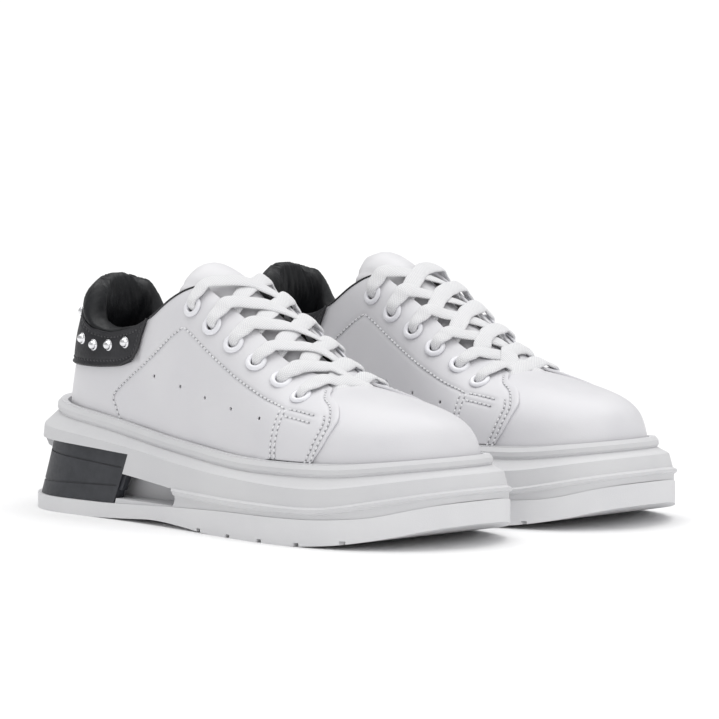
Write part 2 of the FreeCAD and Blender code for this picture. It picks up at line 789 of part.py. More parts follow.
def make_counter():
    """Stiffener cupped round the heel, between the quarters and the collar lining."""
    level = -size("leather") - size("ply_gap")
    return panel(heel_columns(33, lambda rise: 80.0 - 12.0 * rise), lambda t: upper_foot(t) + 1.0,
                 lambda t: 80.0 - 4.0 * max(0.0, t) / 25.0, lambda t: level, 1.0, 7)


def lining_section(signed):
    """Closed section of the padded collar at one place round the heel."""
    side = MEDIAL if signed > 0 else LATERAL
    station = abs(signed) - 90
    foot, rim = upper_foot(station), upper_rim(station)
    skin_level = -size("leather") - 2 * size("ply_gap") - 1.0
    pad_line = through((-90, 1.0), (0, 1.0), (30, 0.75), (57, 0.32))
    crown_line = through((-90, 14.0), (-60, 15.0), (-42, 17.0), (-30, 17.0), (-18, 12.5), (-5, 6.0), (8, 2.2),
                         (57, 1.0))
    high = size("pad_high") * pad_line(station)
    low = size("pad_low")
    crown = crown_line(station)
    inner = lambda z, pad: upper_offset(station, z, side, skin_level - pad)
    outside = [upper_offset(station, foot + 0.5, side, skin_level),
               upper_offset(station, foot + 0.5 * (rim - foot), side, skin_level),
               upper_offset(station, rim - 1.0, side, skin_level),
               upper_offset(station, rim + 0.5 * crown, side, skin_level * 0.75),
               inner(rim + crown, high * 0.25)]
    inside = [inner(foot + 0.5, low), inner(foot + 0.45 * (rim - foot), low),
              inner(foot + 0.7 * (rim - foot), high * 0.8), inner(rim + crown * 0.2 - 2.0, high),
              inner(rim + crown * 0.9, high * 0.7)]
    return resample(outside, 10), resample(inside, 10)


def make_collar():
    sections = [lining_section(s) for s in spread(-147.0, 147.0, 43)]
    return grid_solid([section[0] for section in sections], [section[1] for section in sections])


TONGUE_START, TONGUE_END = 101.0, 206.0
tongue_line = through((101, 119.0), (111, 121.8), (122, 118.5), (133, 111.0), (150, 99.2), (165, 89.8),
                      (180, 80.6), (195, 71.6), (206, 65.6))
tongue_half = through((101, 17.5), (108, 19.4), (114, 19.2), (122, 18.2), (131, 17.8), (150, 16.6),
                      (180, 14.8), (206, 11.4))
MEDIAL_SHARE = 0.94
tongue_drop = through((101, 10.0), (112, 10.0), (131, 8.5), (180, 6.5), (206, 3.0))


def tongue_surface(x, across):
    """Top of the tongue at a share of its half width, narrower on the medial side."""
    side = MEDIAL if across > 0 else LATERAL
    narrow = MEDIAL_SHARE * half_width(x, side) / half_width(x, LATERAL) if side == MEDIAL else 1.0
    y = across * tongue_half(x) * narrow
    return Vector(x, y, tongue_line(x) - tongue_drop(x) * abs(across) ** 2)


def make_tongue():
    grids = []
    for under in (0.0, 1.0):
        grid = []
        for x in spread(TONGUE_START, TONGUE_END, 23):
            row = []
            for across in spread(-1.0, 1.0, 11):
                thick = 0.7 + (size("tongue_thickness") - 0.7) * (1 - abs(across) ** 3)
                thin = 1.0 - 0.55 * max(0.0, (x - 185.0) / 21.0) - 0.45 * max(0.0, (TONGUE_START + 6.0 - x) / 6.0)
                row.append(tongue_surface(x, across) - Vector(0, 0, under * thick * thin))
            grid.append(row)
        grids.append(grid)
    return grid_solid(*grids)


# ---------------------------------------------------------------- laces

def lace_band(points, across, lift):
    """Flat band through points, given its sideways direction at each point."""
    half = size("lace_width") / 2
    grids = []
    for level in (0.0, size("lace_thickness")):
        grid = []
        for point, direction in zip(points, across):
            row = []
            for share in (-1.0, -0.5, 0.0, 0.5, 1.0):
                row.append(point + direction * (share * half) + lift * (level - 0.12 * share * share))
            grid.append(row)
        grids.append(grid)
    return grid_solid(*grids)


def throat_point(x, across, lift):
    """Point over the tongue at a share of the throat's half width."""
    edge_z = rim_line(x)
    edge_y = side_y(x, edge_z, LATERAL)
    crown = tongue_line(x) + 1.4 - edge_z
    return Vector(x, across * edge_y, edge_z + crown * (1 - across * across) + lift)


def crossing(start, stop, side):
    """One lace run: out of an eyelet on one side, over the tongue, under the other facing."""
    slope = Vector(0.47, 0, 0.88)
    x0, x1 = start[0] + JOIN, stop[0] + JOIN
    top = upper_offset(start[0], start[1], side, lap(start[0]) + size("eyelet_flange") + 0.75)
    edge = upper_offset(start[0] + 2.0, rim_line(x0 + 2.0) - 0.6, side, lap(start[0]) + 1.1)
    route = [top, (top + edge) * 0.5 + slope * 0.9, edge]
    high = 1.5 if side == LATERAL else 0.15
    for f in (0.3, 0.5, 0.7, 0.9):
        x = x0 + 3.0 + (x1 + 2.0 - x0 - 3.0) * f
        across = side * (1 - 2 * f)
        route.append(throat_point(x, across, high * (1 - abs(across)) + (0.9 if f < 0.4 else 0.1)))
    return route


def make_laces():
    spots = {}
    for station, z, side in eyelet_spots():
        spots.setdefault(side, []).append((station, z))
    bands = []
    for side in SIDES:
        for i in range(1, EYELET_COUNT):
            route = crossing(spots[side][i], spots[-side][i - 1], side)
            ahead = [b - a for a, b in zip(route[:-1], route[1:])]
            ahead.append(ahead[-1])
            lift = Vector(0.47, 0, 0.88)
            across = []
            for direction in ahead:
                sideways = direction.cross(lift)
                sideways.normalize()
                across.append(sideways)
            bands.append(lace_band(route, across, lift))
    return bands


# ---------------------------------------------------------------- build

def build_shoe(name, eyelet, stud):
    make_outsole(name)
    feature(name, "midsole", make_midsole())
    feature(name, "heel_clip", make_clip())
    make_boards(name)
    for side, word in SIDES.items():
        feature(name, "quarter_" + word, make_quarter(side))
        feature(name, "eyestay_backer_" + word, make_backer(side))
        feature(name, "quarter_lining_" + word, make_quarter_lining(side))
    feature(name, "vamp", make_vamp())
    feature(name, "vamp_lining", make_vamp_lining())
    feature(name, "toe_puff", make_toe_puff())
    feature(name, "heel_tab", make_heel_tab())
    feature(name, "heel_counter", make_counter())
    feature(name, "collar_lining", make_collar())
    feature(name, "tongue", make_tongue())
    eyelet_frames = [surface_frame(s, z, side, lap(s)) for s, z, side in eyelet_spots()]
    group_of(name, "eyelets", eyelet, eyelet_frames)
    tab_level = size("ply_gap") + size("tab_leather")
    stud_frames = [surface_frame(s, z, side, tab_level) for s, z in STUD_ROW + STUD_UPPER for side in SIDES]
    group_of(name, "studs", stud, stud_frames)
    feature(name, "laces", Part.makeCompound(make_laces()))


def finish():
    doc.recompute()
    os.makedirs("parts", exist_ok=True)
    failed = []
    for item in doc.Objects:
        if "Invalid" in item.State or "Error" in item.State:
            failed.append(item.Label + " " + str(item.State))
    for item in doc.Objects:
        if not item.Label.startswith(tuple(SHOES)):
            continue
        if item.TypeId not in ("PartDesign::Body", "Part::Feature"):
            continue
        if item.Shape.isNull() or not item.Shape.isValid():
            failed.append(item.Label + " has no valid shape")
            continue
        print("%-34s solids %d volume %.1f" % (item.Label, len(item.Shape.Solids), item.Shape.Volume))
        item.Shape.exportStep("parts/" + item.Label + ".step")
    if failed:
        raise RuntimeError("; ".join(failed))


eyelet_body = turned_body("eyelet_pattern", eyelet_profile())
stud_body = turned_body("stud_pattern", stud_profile())
for shoe in SHOES:
    build_shoe(shoe, eyelet_body, stud_body)
finish()
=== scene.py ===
import bisect
import math

import bmesh
import bpy
import numpy as np
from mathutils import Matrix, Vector


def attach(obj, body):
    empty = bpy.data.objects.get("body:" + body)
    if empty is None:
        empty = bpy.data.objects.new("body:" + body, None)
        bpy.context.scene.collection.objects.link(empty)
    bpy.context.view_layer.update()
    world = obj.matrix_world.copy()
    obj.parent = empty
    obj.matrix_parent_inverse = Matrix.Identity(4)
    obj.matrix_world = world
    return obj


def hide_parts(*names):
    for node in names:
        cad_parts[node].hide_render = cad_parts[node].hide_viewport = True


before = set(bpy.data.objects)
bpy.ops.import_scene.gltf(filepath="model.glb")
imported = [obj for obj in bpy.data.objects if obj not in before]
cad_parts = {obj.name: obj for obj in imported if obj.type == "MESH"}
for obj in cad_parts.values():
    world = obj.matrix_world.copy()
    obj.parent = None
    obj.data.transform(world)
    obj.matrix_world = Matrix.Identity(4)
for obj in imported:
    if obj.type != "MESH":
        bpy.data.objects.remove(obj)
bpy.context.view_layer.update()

# A pair of platform sneakers. Shapes are worked out in the right shoe's own frame, in
# millimetres: x forward from the back of the sole, y positive inward (medial), z up.
# The left shoe is the right one mirrored. place() puts a shape on a shoe, in metres.

LENGTH = 285.0
SPACING = 115.0
TOE_OUT = math.radians(1.0)
JOIN = 55.0
BACK = -90.0
HEEL_ROUND = 2 / 2.25
CUP_DEPTH = 5.0
UPPER_INSET = 12.8
LEATHER = 1.4
TAB_LEATHER = 1.2
PLY_GAP = 0.2
QUARTER_LAP = 1.6
LATERAL, MEDIAL = -1, 1
SIDES = {LATERAL: "lateral", MEDIAL: "medial"}
SHOES = {"right": 1, "left": -1}
rng = np.random.default_rng(7)


# ---------------------------------------------------------------- curves and the upper

def through(*points):
    """A smooth function z(x) through a few points that never overshoots them."""
    xs = [p[0] for p in points]
    zs = [p[1] for p in points]
    rise = [(zs[i + 1] - zs[i]) / (xs[i + 1] - xs[i]) for i in range(len(xs) - 1)]
    slope = [rise[0]]
    for before, after in zip(rise, rise[1:]):
        slope.append(0.0 if before * after <= 0 else 2 * before * after / (before + after))
    slope.append(rise[-1])

    def value(x):
        x = min(max(x, xs[0]), xs[-1])
        k = min(bisect.bisect_right(xs, x) - 1, len(xs) - 2)
        width = xs[k + 1] - xs[k]
        f = (x - xs[k]) / width
        return ((1 + 2 * f) * (1 - f) ** 2 * zs[k] + f * (1 - f) ** 2 * width * slope[k]
                + f * f * (3 - 2 * f) * zs[k + 1] + f * f * (f - 1) * width * slope[k + 1])
    return value


def closed_spline(points):
    """Smooth closed curve through points: gives place and direction at a share of the way round."""
    p = np.array(points, float)
    count = len(p)
    step = np.linalg.norm(np.roll(p, -1, 0) - p, axis=1)
    system = np.zeros((count, count))
    right = np.zeros((count, 2))
    for i in range(count):
        before, after, ahead = step[i - 1], step[i], (i + 1) % count
        system[i, i - 1] = before
        system[i, i] = 2 * (before + after)
        system[i, ahead] = after
        right[i] = 6 * ((p[ahead] - p[i]) / after - (p[i] - p[i - 1]) / before)
    bend = np.linalg.solve(system, right)
    knots = np.concatenate([[0.0], np.cumsum(step)])

    def value(share):
        t = (share % 1.0) * knots[-1]
        k = min(int(np.searchsorted(knots, t, side="right")) - 1, count - 1)
        j, h = (k + 1) % count, step[k]
        u, w = t - knots[k], knots[k] + h - t
        a, b = p[k] / h - bend[k] * h / 6, p[j] / h - bend[j] * h / 6
        place = (bend[k] * w ** 3 + bend[j] * u ** 3) / (6 * h) + a * w + b * u
        ahead = (bend[j] * u ** 2 - bend[k] * w ** 2) / (2 * h) - a + b
        return place, ahead / np.linalg.norm(ahead)
    return value


OUTLINE = [(0, 0), (6, -20), (24, -35), (60, -40), (100, -42), (140, -47), (178, -53), (208, -55.5),
           (238, -52), (262, -41), (279, -21), (285, 2), (280, 25), (264, 42.5), (240, 51.5),
           (210, 54), (178, 51), (140, 42.5), (100, 37), (60, 36), (24, 31.5), (6, 18)]
outline_curve = closed_spline(OUTLINE)

bead_top = through((0, 55.5), (60, 48.5), (120, 40.5), (180, 36.6), (230, 37.3), (285, 42.0))
heel_back = through((40, 19.4), (50, 20.0), (62, 22.5), (75, 26.5), (84, 29.5), (96, 34.6), (104, 36.5),
                    (113, 36.0))
ridge_line = through((40, 117.0), (112, 117.0), (125, 115.5), (150, 101.0), (175, 85.0), (198, 70.5),
                     (212, 68.3), (231, 65.4), (250, 61.5), (260, 58.0), (268, 52.5), (274, 42.0))
side_power = through((112, 3.2), (125, 3.2), (198, 2.2), (240, 2.2), (274, 2.2))
roof_power = through((95, 14.0), (112, 10.0), (125, 5.8), (198, 2.5), (240, 2.3), (274, 2.2))
rim_line = through((55, 88.6), (66, 87.4), (80, 89.6), (90, 93.0), (98, 97.0), (112, 106.5),
                   (120, 111.2), (125, 112.5), (131, 110.0), (150, 98.8), (201, 68.9), (212, 66.5))
rim_heel = through((-90, 100.0), (-60, 99.4), (-35, 96.0), (-15, 91.6), (0, 88.6))


def outline_point(share, inset=0.0, heel_inset=0.0):
    """Point on the sole outline, drawn in by inset, and by heel_inset more at the heel."""
    place, ahead = outline_curve(share)
    draw = inset + heel_inset * max(0.0, 1 - place[0] / 45.0) ** 1.5
    return Vector((place[0] - ahead[1] * draw, place[1] + ahead[0] * draw, 0))


def share_at(x, side):
    """Share of the way round the outline where one side passes the given x."""
    low, high = (0.02, 0.5) if side == LATERAL else (0.98, 0.5)
    for _ in range(40):
        middle = (low + high) / 2
        if outline_point(middle).x < x:
            low = middle
        else:
            high = middle
    return (low + high) / 2


def side_table(side):
    samples = []
    for step in range(241):
        share = 0.5 * step / 240 if side == LATERAL else 1 - 0.5 * step / 240
        point = outline_point(share, UPPER_INSET)
        samples.append((point.x, max(0.0, side * point.y)))
    samples.sort()
    return [s[0] for s in samples], [s[1] for s in samples]


HALF_WIDTHS = {side: side_table(side) for side in SIDES}


def half_width(x, side):
    xs, ws = HALF_WIDTHS[side]
    if x >= xs[-1]:
        return 0.0
    k = max(0, bisect.bisect_right(xs, x) - 1)
    return ws[k] + (ws[k + 1] - ws[k]) * (x - xs[k]) / max(xs[k + 1] - xs[k], 1e-9)


def foot_line(x):
    return bead_top(x) - CUP_DEPTH


def side_y(x, z, side):
    """Half width of the upper at a height, on its rounded cross section at x."""
    foot = foot_line(x)
    rise = min(1.0, max(0.0, (z - foot) / (ridge_line(x) - foot)))
    wide = half_width(x, side) * (1 - rise ** roof_power(x)) ** (1 / side_power(x))
    return wide - 0.8 * max(0.0, 1 - (z - foot) / 7.0) ** 2


def dome_height(x, y):
    """Height of the upper's surface over a plan position in front of the throat."""
    wide = half_width(x, MEDIAL if y > 0 else LATERAL)
    out = min(1.0, abs(y) / wide) if wide > 0 else 1.0
    foot = foot_line(x)
    return foot + (ridge_line(x) - foot) * (1 - out ** side_power(x)) ** (1 / roof_power(x))


def station_x(station, z):
    """Stations -90 to 0 turn round the heel, above 0 they run straight forward."""
    if station >= 0:
        return JOIN + station
    return JOIN - (JOIN - heel_back(z)) * math.cos(math.radians(90 + station)) ** HEEL_ROUND


def upper_point(station, z, side):
    x = station_x(station, z)
    if station >= 0:
        return Vector((x, side * side_y(x, z, side), z))
    y = side_y(JOIN, z, side) * math.sin(math.radians(90 + station)) ** HEEL_ROUND
    return Vector((x, side * y, z))


def upper_foot(station):
    return foot_line(station_x(station, 50.0))


def upper_rim(station):
    return rim_line(JOIN + station) if station >= 0 else rim_heel(station)


def upper_normal(station, z, side):
    along = upper_point(station + 0.4, z, side) - upper_point(max(station - 0.4, BACK), z, side)
    up = upper_point(station, z + 0.4, side) - upper_point(station, z - 0.4, side)
    if station <= BACK + 0.5:
        along = Vector((0, side, 0))
    normal = along.cross(up) * -side
    return normal.normalized()


def upper_offset(station, z, side, offset):
    return upper_point(station, z, side) + upper_normal(station, z, side) * offset


def lap(station):
    """How far the quarter stands off the last where it laps over the vamp."""
    share = min(1.0, max(0.0, (JOIN + station - 180.0) / 14.0))
    return QUARTER_LAP * share * share * (3 - 2 * share)


def spread(first, last, count):
    return [first + (last - first) * i / (count - 1) for i in range(count)]


def smooth_step(value, low, high):
    share = min(1.0, max(0.0, (value - low) / (high - low)))
    return share * share * (3 - 2 * share)


def run_along(chain):
    """Distance travelled along a chain, from its first three columns."""
    return np.concatenate([[0], np.cumsum(np.linalg.norm(np.diff(chain[:, :3], axis=0), axis=1))])


def even_chain(points, count, closed=False):
    """Evenly spaced points along a chain; both ends are kept unless it is closed."""
    chain = np.array([tuple(p) for p in points])
    reach = run_along(chain)
    targets = np.linspace(0, reach[-1], count, endpoint=not closed)
    return np.stack([np.interp(targets, reach, column) for column in chain.T], axis=1)


def between(a, b, c, d, t):
    """Smooth curve from b to c, led by a and d."""
    return 0.5 * (2 * b + (c - a) * t + (2 * a - 5 * b + 4 * c - d) * t * t
                  + (3 * b - a - 3 * c + d) * t ** 3)


# ---------------------------------------------------------------- meshes

class Shape:
    """Points in the right shoe's frame, faces, and optional texture coordinates per point."""

    def __init__(self, points, faces, uv=None):
        self.points = np.array([tuple(p) for p in points], float)
        self.faces = faces
        self.uv = uv


def grid_faces(rows, columns, wrap=False, start=0, flip=False):
    """Faces of a grid stored row by row; wrap joins its last column to the first."""
    faces = []
    for i in range(rows - 1):
        for j in range(columns if wrap else columns - 1):
            k = (j + 1) % columns
            face = (start + i * columns + j, start + i * columns + k,
                    start + (i + 1) * columns + k, start + (i + 1) * columns + j)
            faces.append(face[::-1] if flip else face)
    return faces


def tube_faces(rings, around):
    """Faces of a tube of closed rings with both ends capped."""
    last = (rings - 1) * around
    caps = [tuple(range(around)), tuple(range(last, last + around))[::-1]]
    return grid_faces(rings, around, wrap=True) + caps


def joined(shapes):
    points, faces, uv = [], [], []
    count = 0
    for shape in shapes:
        points.append(shape.points)
        faces += [tuple(v + count for v in face) for face in shape.faces]
        if shape.uv is not None:
            uv.append(shape.uv)
        count += len(shape.points)
    return Shape(np.concatenate(points), faces, np.concatenate(uv) if uv else None)


def to_world(points, shoe):
    sign = SHOES[shoe]
    x, y, z = points[:, 0] - LENGTH / 2, sign * points[:, 1], points[:, 2]
    angle = -sign * TOE_OUT
    return np.stack([x * math.cos(angle) - y * math.sin(angle),
                     x * math.sin(angle) + y * math.cos(angle) - sign * SPACING / 2, z], axis=1) * 0.001


def new_object(name, points, faces, uv=None):
    mesh = bpy.data.meshes.new(name)
    mesh.from_pydata([tuple(p) for p in points], [], faces)
    if uv is not None:
        layer = mesh.uv_layers.new(name="weave")
        flat = np.empty(len(mesh.loops), dtype=np.int32)
        mesh.loops.foreach_get("vertex_index", flat)
        layer.data.foreach_set("uv", np.asarray(uv)[flat].astype(np.float32).ravel())
    mesh.validate()
    mesh.polygons.foreach_set("use_smooth", [True] * len(mesh.polygons))
    mesh.update()
    obj = bpy.data.objects.new(name, mesh)
    bpy.context.scene.collection.objects.link(obj)
    return obj


def outward(obj):
    """Turns every face outward."""
    work = bmesh.new()
    work.from_mesh(obj.data)
    bmesh.ops.recalc_face_normals(work, faces=work.faces)
    work.to_mesh(obj.data)
    work.free()


def place(shape, shoe, name, material, body, slot, nodes=(), thick=0.0, bevel=0.0):
    """One shoe's object from a shape, with its material, body and the nodes it stands for; slot is not used.
    """
    faces = shape.faces if SHOES[shoe] > 0 else [face[::-1] for face in shape.faces]
    obj = new_object(shoe + "_" + name, to_world(shape.points, shoe), faces, shape.uv)
    if not thick:
        outward(obj)
    obj.data.materials.append(material)
    if thick:
        shell = obj.modifiers.new("thickness", "SOLIDIFY")
        shell.thickness = thick * 0.001
        shell.offset = -1
        shell.use_even_offset = False
    if bevel:
        edge = obj.modifiers.new("edge", "BEVEL")
        edge.width = bevel * 0.001
        edge.segments = 2
        edge.limit_method = "ANGLE"
        edge.angle_limit = math.radians(50)
    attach(obj, shoe + "_" + body)
    if nodes:
        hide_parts(*[shoe + "_" + node for node in nodes])
    return obj


def applied(obj):
    """Turns an object's modifiers into its mesh."""
    graph = bpy.context.evaluated_depsgraph_get()
    mesh = bpy.data.meshes.new_from_object(obj.evaluated_get(graph))
    obj.modifiers.clear()
    old = obj.data
    obj.data = mesh
    bpy.data.meshes.remove(old)
    return obj


# ---------------------------------------------------------------- materials

def make_material(name):
    material = bpy.data.materials.new(name)
    material.use_nodes = True
    tree = material.node_tree
    shader = tree.nodes["Principled BSDF"]
    place_in = tree.nodes.new("ShaderNodeTexCoord").outputs["Object"]
    return material, tree, shader, place_in


def add_node(tree, kind, vector, **values):
    """A texture or mapping node fed by a vector; spaces in a socket's name are written as _."""
    node = tree.nodes.new("ShaderNode" + kind)
    for label, number in values.items():
        node.inputs[label.replace("_", " ")].default_value = number
    tree.links.new(vector, node.inputs["Vector"])
    return node


def noise(tree, where, scale, detail=3.0, stretch=None):
    if stretch:
        where = add_node(tree, "Mapping", where, Scale=stretch).outputs["Vector"]
    return add_node(tree, "TexNoise", where, Scale=scale, Detail=detail).outputs["Fac"]


def cells(tree, where, scale):
    return add_node(tree, "TexVoronoi", where, Scale=scale).outputs["Distance"]


def crossed_threads(tree, where, turns, **wave):
    """Two sets of waves turned against each other and multiplied: the raised crossings of a weave."""
    both = tree.nodes.new("ShaderNodeMath")
    both.operation = "MULTIPLY"
    for index, turn in enumerate(turns):
        turned_to = add_node(tree, "Mapping", where, Rotation=turn).outputs["Vector"]
        ribs = add_node(tree, "TexWave", turned_to, Detail=1.0, **wave)
        tree.links.new(ribs.outputs["Fac"], both.inputs[index])
    return both.outputs[0]


def remap(tree, value, low, high, to_low, to_high):
    node = tree.nodes.new("ShaderNodeMapRange")
    for label, number in (("From Min", low), ("From Max", high), ("To Min", to_low), ("To Max", to_high)):
        node.inputs[label].default_value = number
    tree.links.new(value, node.inputs["Value"])
    return node.outputs["Result"]


def blend_colour(tree, factor, first, second, low=0.35, high=0.65):
    ramp = tree.nodes.new("ShaderNodeValToRGB")
    ramp.color_ramp.elements[0].position = low
    ramp.color_ramp.elements[0].color = (*first, 1)
    ramp.color_ramp.elements[1].position = high
    ramp.color_ramp.elements[1].color = (*second, 1)
    tree.links.new(factor, ramp.inputs["Fac"])
    return ramp.outputs["Color"]


def add_bumps(tree, shader, heights):
    """Stacks bumps, coarse first: each is a height, a strength and a depth in metres."""
    before = None
    for height, strength, depth in heights:
        bump = tree.nodes.new("ShaderNodeBump")
        bump.inputs["Strength"].default_value = strength
        bump.inputs["Distance"].default_value = depth
        tree.links.new(height, bump.inputs["Height"])
        if before:
            tree.links.new(before, bump.inputs["Normal"])
        before = bump.outputs["Normal"]
    tree.links.new(before, shader.inputs["Normal"])


def grained(name, first, second, rough, grain, grain_depth, swell=0.0, mottling=60.0, coat=0.0, sheen=0.0,
            specular=0.5):
    """Leather, foam, rubber or plastic: mottled colour, uneven gloss, fine grain, soft swells."""
    material, tree, shader, where = make_material(name)
    patches = noise(tree, where, mottling, 4.0)
    tree.links.new(blend_colour(tree, patches, first, second), shader.inputs["Base Color"])
    gloss = noise(tree, where, mottling * 4, 3.0)
    tree.links.new(remap(tree, gloss, 0.3, 0.7, rough - 0.07, rough + 0.07), shader.inputs["Roughness"])
    heights = []
    if swell:
        heights.append((noise(tree, where, 45.0, 2.0), swell, 0.002))
    heights.append((cells(tree, where, grain), 0.5, grain_depth))
    heights.append((noise(tree, where, grain * 2.3, 4.0), 0.4, grain_depth * 0.6))
    add_bumps(tree, shader, heights)
    shader.inputs["Coat Weight"].default_value = coat
    shader.inputs["Specular IOR Level"].default_value = specular
    shader.inputs["Coat Roughness"].default_value = 0.25
    shader.inputs["Sheen Weight"].default_value = sheen
    return material


def woven(name, first, second, rough, pitch, depth=0.0002, sheen=0.3):
    """Cloth whose crossed threads follow the space it lies in."""
    material, tree, shader, where = make_material(name)
    turns = [(0.5, 0.35, turn + 0.4) for turn in (0.0, math.pi / 2)]
    weave = crossed_threads(tree, where, turns, Scale=1 / pitch, Distortion=1.0)
    # Colour follows the weave, darker between the crossed threads: painted shade in the weave's hollows.
    tree.links.new(blend_colour(tree, weave, first, second, 0.0, 0.6), shader.inputs["Base Color"])
    add_bumps(tree, shader, [(noise(tree, where, 70.0), 0.3, 0.001), (weave, 0.7, depth)])
    shader.inputs["Roughness"].default_value = rough
    shader.inputs["Sheen Weight"].default_value = sheen
    return material


LACE_LEAN, LACE_RIBS = 0.62, 0.36


def lace_material():
    """Flat tubular weave: slanted ribs that mirror about the band's middle."""
    material, tree, shader, where = make_material("lace_weave")
    pin = tree.nodes.new("ShaderNodeUVMap")
    pin.uv_map = "weave"
    turns = [(0, 0, LACE_LEAN), (0, 0, -LACE_LEAN)]
    weave = crossed_threads(tree, pin.outputs["UV"], turns, Scale=LACE_RIBS, Distortion=0.6, Detail_Scale=2.0)
    # Lighter on the raised crossings and darker between them: painted shade between the lace's threads.
    colour = blend_colour(tree, weave, (0.72, 0.72, 0.74), (0.9, 0.9, 0.9), 0.0, 0.45)
    tree.links.new(colour, shader.inputs["Base Color"])
    add_bumps(tree, shader, [(weave, 0.7, 0.0003), (noise(tree, where, 2600.0), 0.35, 0.00015)])
    shader.inputs["Roughness"].default_value = 0.85
    shader.inputs["Sheen Weight"].default_value = 0.35
    shader.inputs["Sheen Roughness"].default_value = 0.5
    return material


def metal(name, colour, rough, scratch, brushed=None):
    material, tree, shader, where = make_material(name)
    marks = noise(tree, where, scratch, 5.0, brushed)
    tree.links.new(blend_colour(tree, marks, [c * 0.86 for c in colour], colour), shader.inputs["Base Color"])
    tree.links.new(remap(tree, marks, 0.3, 0.7, rough, rough + 0.14), shader.inputs["Roughness"])
    add_bumps(tree, shader, [(marks, 0.12, 0.00005)])
    shader.inputs["Metallic"].default_value = 1.0
    return material


WHITE = (0.72, 0.715, 0.735)
LOOKS = {
    "white_leather": dict(first=(0.69, 0.685, 0.71), second=WHITE,
          rough=0.42, grain=1500.0, grain_depth=0.00006, swell=0.05, mottling=30.0, coat=0.08),
    "tongue_leather": dict(first=(0.72, 0.715, 0.735), second=(0.77, 0.765, 0.78),
          rough=0.46, grain=1300.0, grain_depth=0.00008, swell=0.12, mottling=30.0),
    "black_leather": dict(first=(0.016, 0.016, 0.019), second=(0.026, 0.026, 0.03),
          rough=0.5, grain=1000.0, grain_depth=0.00016, swell=0.05, mottling=90.0, specular=0.26),
    "black_lining": dict(first=(0.006, 0.0065, 0.008), second=(0.014, 0.015, 0.017),
          rough=0.42, grain=1200.0, grain_depth=0.00012, swell=0.2, mottling=120.0, specular=0.3),
    # White foam set greyer than the outsole and leather: the extra grey is painted shade that keeps the side
    # walls dark under the front lamp.
    "midsole_foam": dict(first=(0.62, 0.62, 0.635), second=(0.66, 0.66, 0.67),
          rough=0.6, grain=1900.0, grain_depth=0.00005, mottling=25.0),
    "outsole_rubber": dict(first=(0.70, 0.70, 0.715), second=(0.74, 0.74, 0.75),
          rough=0.62, grain=1500.0, grain_depth=0.00007, mottling=30.0),
    "clip_plastic": dict(first=(0.022, 0.024, 0.03), second=(0.034, 0.036, 0.043),
          rough=0.5, grain=2200.0, grain_depth=0.00007, mottling=140.0),
    "eyelet_plastic": dict(first=(0.8, 0.8, 0.84), second=(0.84, 0.84, 0.87),
          rough=0.2, grain=900.0, grain_depth=0.00002, mottling=200.0, coat=0.5),
    "stiffener": dict(first=(0.62, 0.6, 0.55), second=(0.7, 0.68, 0.62),
          rough=0.55, grain=1400.0, grain_depth=0.00006),
    "board": dict(first=(0.5, 0.44, 0.35), second=(0.6, 0.53, 0.43),
                  rough=0.8, grain=1100.0, grain_depth=0.00012),
    "white_thread": dict(first=(0.74, 0.74, 0.76), second=(0.84, 0.84, 0.85),
          rough=0.75, grain=3500.0, grain_depth=0.00012, sheen=0.2),
    "dark_thread": dict(first=(0.012, 0.012, 0.015), second=(0.03, 0.03, 0.035),
          rough=0.6, grain=3500.0, grain_depth=0.00012, sheen=0.2),
    # Grey for the needle holes between the stitches: painted shade standing in for the shadow in each hole.
    "painted_needle_shade": dict(first=(0.34, 0.34, 0.35), second=(0.42, 0.42, 0.44),
          rough=0.9, grain=3000.0, grain_depth=0.0001),
    "piping": dict(first=(0.012, 0.012, 0.014), second=(0.022, 0.022, 0.025),
          rough=0.45, grain=1400.0, grain_depth=0.0001, swell=0.1, mottling=90.0),
}
MAT = {name: grained(name, **look) for name, look in LOOKS.items()}
MAT["backer"] = woven("backer", (0.5, 0.5, 0.5), (0.74, 0.74, 0.73), 0.85, 0.0012)
MAT["lining_cloth"] = woven("lining_cloth", (0.008, 0.008, 0.01), (0.03, 0.03, 0.034), 0.9, 0.0014)
MAT["insole_cloth"] = woven("insole_cloth", (0.01, 0.01, 0.012), (0.036, 0.036, 0.04), 0.9, 0.0016)
MAT["lace_weave"] = lace_material()
MAT["stud_metal"] = metal("stud_metal", (0.86, 0.86, 0.88), 0.12, 900.0)
MAT["shank_steel"] = metal("shank_steel", (0.5, 0.5, 0.52), 0.35, 400.0, (1, 12, 1))


# ---------------------------------------------------------------- panels of the upper

FRONT_EDGE = through((0, 222.0), (0.35, 227.0), (0.6, 228.5), (0.8, 223.5), (1.0, 207.0))
TAB_EDGE = through((0, 82.5), (0.16, 86.0), (0.3, 88.6), (0.55, 91.0), (0.8, 93.4), (1.0, 96.0))
TAB_LOW = through((-90, 72.5), (-30, 70.6), (0, 70.4), (18, 71.6), (28, 74.2), (43, 80.0))
EYELET_COUNT = 6
EYELET_HOLE, PUNCH_HOLE = 3.3, 0.9
EYELET_FIRST, EYELET_LAST = (125.3, 102.7), (198.5, 64.1)
STUD_ROW = [(-15.0, 83.5), (1.0, 81.0), (12.0, 81.5), (24.5, 83.5)]
STUD_UPPER = [(-52.0, 95.0)]
PERFORATIONS = [(99.5, 68.6), (120.0, 65.1), (140.5, 61.3), (161.3, 57.7), (182.3, 54.8)]
DENSE = 50


def panel_grid(columns, low, high, outside, rows):
    """Points and outward normals of a panel; a column gives side and station at a rise."""
    points, normals = [], []
    for column in columns:
        chain = []
        for rise in spread(0.0, 1.0, DENSE):
            side, station = column(rise)
            z = low(station) + rise * (high(station) - low(station))
            chain.append((*upper_offset(station, z, side, outside(station)), station, z))
        even = even_chain(chain, rows)
        points.append(even[:, :3])
        normals.append([tuple(upper_normal(s, z, side)) for s, z in even[:, 3:]])
    return np.array(points), np.array(normals)


